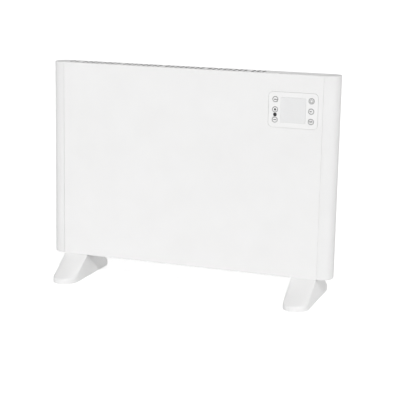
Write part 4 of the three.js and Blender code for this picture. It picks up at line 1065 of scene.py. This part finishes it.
def make_eye():
    centre = cad_centre("infrared_window")
    length = EYE_HIGH.y - EYE_LOW.y
    dome = arc(0, EYE_RISE, EYE_RADIUS, EYE_RISE, -90, 0, 8)
    profile = dome + [(EYE_RADIUS, length), (0, length)]
    eye = solid("infrared_window_fine", turn(profile, "y", (centre.x, FRONT, centre.z)))
    soften(eye)
    dress(eye, "dark_lens", "body", ["infrared_window"])


def make_key(name):
    """A round key with a slightly dished face, on the flange and stem of its CAD node."""
    low, high = cad_box(name)
    centre = (low + high) / 2
    length = high.y - low.y
    flange = KEY_FLANGE_FRONT - low.y
    face = [(radius, KEY_DISH * (1 - (radius / KEY_DISH_RADIUS) ** 2))
            for radius in (KEY_DISH_RADIUS * i / 6 for i in range(7))]
    rim = arc(KEY_RADIUS - KEY_RIM, KEY_RIM, KEY_RIM, KEY_RIM, -90, 0, 5)
    profile = face + rim + [(KEY_RADIUS, flange + KEY_SKIRT), (KEY_STEM, flange + KEY_SKIRT),
                            (KEY_STEM, length), (0, length)]
    key = solid(name + "_fine", turn(profile, "y", (centre.x, low.y, centre.z), FINE_STEPS))
    tabs = block((low.x, KEY_FLANGE_FRONT, centre.z - KEY_TAB_HEIGHT / 2),
                 (high.x, KEY_FLANGE_FRONT + KEY_SKIRT, centre.z + KEY_TAB_HEIGHT / 2))
    join(key, [tabs])
    soften(key)
    key.data.set_sharp_from_angle(angle=math.radians(35))
    dress(key, "key_plastic", name, [name])
    return centre.x, low.y, centre.z


def stroke(points, width):
    """The outline of a line of even width through points, with square ends."""
    left = []
    right = []
    for i, point in enumerate(points):
        before = Vector(points[max(i - 1, 0)])
        after = Vector(points[min(i + 1, len(points) - 1)])
        along = (after - before).normalized()
        side = Vector((-along.y, along.x)) * width / 2
        left.append(tuple(Vector(point) + side))
        right.append(tuple(Vector(point) - side))
    return left + right[::-1]


def mark_mode():
    return [stroke([(-2.2, -0.7), (4.9, -0.7)], 1.1), circle(-1.1, -0.5, 1.3)]


def mark_plus():
    return [stroke([(-2.4, 0), (2.4, 0)], 2.1), stroke([(0, -2.4), (0, 2.4)], 2.1)]


def mark_minus():
    return [stroke([(-2.8, 0), (2.8, 0)], 1.5)]


def mark_power():
    return [stroke(arc(0, -0.3, 3.0, 3.0, 120, 420, 28), 0.7), stroke([(0, 1.7), (0, 4.2)], 0.7)]


def mark_timer():
    return [stroke([(1.0, 0), (-3.4, 0.3)], 1.0), stroke([(-0.8, 0.2), (-0.8, -2.0)], 0.8),
            circle(-0.8, 0, 1.1, 20)]


def mark_heat():
    wave = [(-3.4 + 0.25 * i, 0.7 * math.sin(math.pi * i / 8)) for i in range(25)]
    return [stroke([(x, z + lift) for x, z in wave], 0.75) for lift in (-0.65, 0.75)]


def make_mark(name, outlines, place):
    """A key's symbol and its ring, raised a little from the key's face."""
    x, y, z = place
    outer = circle(x, z, KEY_RING_OUTER, FINE_STEPS)
    inner = circle(x, z, KEY_RING_OUTER - KEY_RING_WIDTH, FINE_STEPS)
    ring = solid(name + "_ring", sweep(outer, "y", y - INK_HEIGHT, y + INK_HEIGHT))
    cut(ring, [sweep(inner, "y", y - 1, y + 1)])
    soften(ring)
    dress(ring, "ring_ink", name)
    strokes = [sweep([(x + u, z + v) for u, v in outline], "y", y - INK_HEIGHT,
                     y + KEY_DISH + INK_HEIGHT) for outline in outlines]
    mark = solid(name + "_mark", strokes[0])
    if strokes[1:]:
        join(mark, *([part] for part in strokes[1:]))
    dress(mark, "ink", name)


def make_controls():
    make_bezel()
    make_window()
    make_eye()
    marks = (mark_mode(), mark_plus(), mark_minus(), mark_power(), mark_timer(), mark_heat())
    for name, outlines in zip(KEY_NAMES, marks):
        make_mark(name, outlines, make_key(name))


# ---- Rear fittings ----

def make_gland():
    low, high = cad_box("cord_gland")
    centre = (low + high) / 2
    outer = REAR + GAP
    inner = REAR - SHEET - GAP
    flange = (high.x - low.x) / 2
    clip = GLAND_NECK + GLAND_CLIP
    profile = [(GLAND_BORE, low.y), (GLAND_NECK, low.y), (clip, inner - GLAND_CLIP_SLOPE),
               (clip, inner), (GLAND_NECK, inner), (GLAND_NECK, outer), (flange, outer)]
    profile += arc(flange - GLAND_EDGE, high.y - GLAND_EDGE, GLAND_EDGE, GLAND_EDGE, 0, 90, 6)
    profile += arc(GLAND_BORE + GLAND_MOUTH, high.y - GLAND_MOUTH, GLAND_MOUTH, GLAND_MOUTH,
                   90, 180, 5)
    gland = solid("cord_gland_fine", turn(profile, "y", (centre.x, 0, centre.z), FINE_STEPS,
                                          closed=True))
    soften(gland)
    gland.data.set_sharp_from_angle(angle=math.radians(35))
    dress(gland, "dark_plastic", "body", ["cord_gland"])


def make_switch():
    low, high = cad_box("switch_housing")
    centre = (low + high) / 2
    body_inner = REAR - SHEET - SWITCH_DEPTH
    housing = solid("switch_housing_fine", sweep(rectangle(
        centre.x, centre.z, SWITCH_WIDTH, SWITCH_HEIGHT), "y", body_inner, high.y))
    rim = rounded_rectangle(centre.x, centre.z, high.x - low.x, high.z - low.z, SWITCH_CORNER)
    blades = [block((centre.x - BLADE_WIDTH / 2, low.y, z - BLADE_THICKNESS / 2),
                    (centre.x + BLADE_WIDTH / 2, body_inner + 1, z + BLADE_THICKNESS / 2))
              for z in (centre.z + row * BLADE_PITCH for row in (-1, 0, 1))]
    join(housing, [sweep(rim, "y", REAR + GAP, high.y)], blades)
    pocket = rectangle(centre.x, centre.z, SWITCH_WIDTH - 2 * SWITCH_WALL,
                       SWITCH_HEIGHT - 2 * SWITCH_WALL)
    cut(housing, [sweep(pocket, "y", SWITCH_FLOOR, high.y + 1)])
    soften(housing, width=0.35, segments=3)
    dress(housing, "dark_plastic", "body", ["switch_housing"])


def make_rocker():
    """A rocker with two dished halves, made level about its pivot and then tilted to rest."""
    joint = next(joint for joint in frame["joints"] if joint["name"] == "rocker_tilt")
    pivot = Vector(joint["pos_m"]) * METRE
    low, high = cad_box("rocker")
    end = math.radians(ROCKER_END)
    tilt = math.radians(ROCKER_TILT)
    ridge = ROCKER_RADIUS * (math.sin(end) - math.cos(end) * math.tan(tilt))
    tip = (ROCKER_RADIUS * math.sin(end), ROCKER_RADIUS * math.cos(end))
    half = []
    for i in range(1, ROCKER_STEPS):
        t = i / ROCKER_STEPS
        dish = ROCKER_DISH * 4 * t * (1 - t)
        half.append((ridge + (tip[0] - ridge) * t - dish, tip[1] * t))
    upper_end = arc(0, 0, ROCKER_RADIUS, ROCKER_RADIUS, 90 - ROCKER_END, 90 + ROCKER_SKIRT, 10)
    lower_end = arc(0, 0, ROCKER_RADIUS, ROCKER_RADIUS, 270 - ROCKER_SKIRT, 270 + ROCKER_END, 10)
    section = [(ridge, 0)] + half + upper_end + lower_end + [(y, -z) for y, z in half[::-1]]
    rocker = solid("rocker_fine", sweep(section, "x", -ROCKER_WIDTH / 2, ROCKER_WIDTH / 2))
    pin = (high.x - low.x) / 2
    join(rocker, [sweep(circle(0, 0, ROCKER_PIN), "x", -pin, pin)])
    rocker.data.transform(Matrix.Translation(pivot / METRE) @ Matrix.Rotation(-tilt, 4, "X"))
    soften(rocker, width=0.3, segments=3)
    dress(rocker, "dark_plastic", "rocker", ["rocker"])


# ---- CAD nodes that keep their shape ----

def finish_cad_nodes():
    slots = {entry["node"]: entry["material_slot"] for entry in frame["record"]["subparts"]}
    for name, node in frame["nodes"].items():
        node.data.materials.clear()
        node.data.materials.append(MATERIALS[slots[name]])
        weld = node.modifiers.new("weld", "WELD")
        weld.merge_threshold = CAD_WELD / METRE
        bevel = node.modifiers.new("soft edges", "BEVEL")
        bevel.width = CAD_EDGE / METRE
        bevel.segments = 2
        bevel.limit_method = "ANGLE"
        bevel.angle_limit = math.radians(40)


# ---- The scene ----

MATERIALS = make_materials()


def make_lights():
    make_world()
    make_floor()
    sun("key", azimuth=27.7, elevation=35.0, spread=4.0, level=0.35, mirrored=True)
    sun("front_fill", azimuth=-8.0, elevation=16.0, spread=60.0, level=0.338)
    sun("right_fill", azimuth=108.0, elevation=10.0, spread=50.0, level=0.225)
    sun("back_fill", azimuth=199.5, elevation=10.0, spread=60.0, level=0.50)


def make_object():
    finish_cad_nodes()
    make_front_panel()
    make_rear_cover()
    make_end_cap("left_end_cap", -1)
    make_end_cap("right_end_cap", 1)
    make_foot("left_foot", -FOOT_X)
    make_foot("right_foot", FOOT_X)
    make_screws()
    make_controls()
    make_gland()
    make_switch()
    make_rocker()


make_camera()
make_lights()
make_object()

bpy.context.scene.view_settings.view_transform = "Standard"
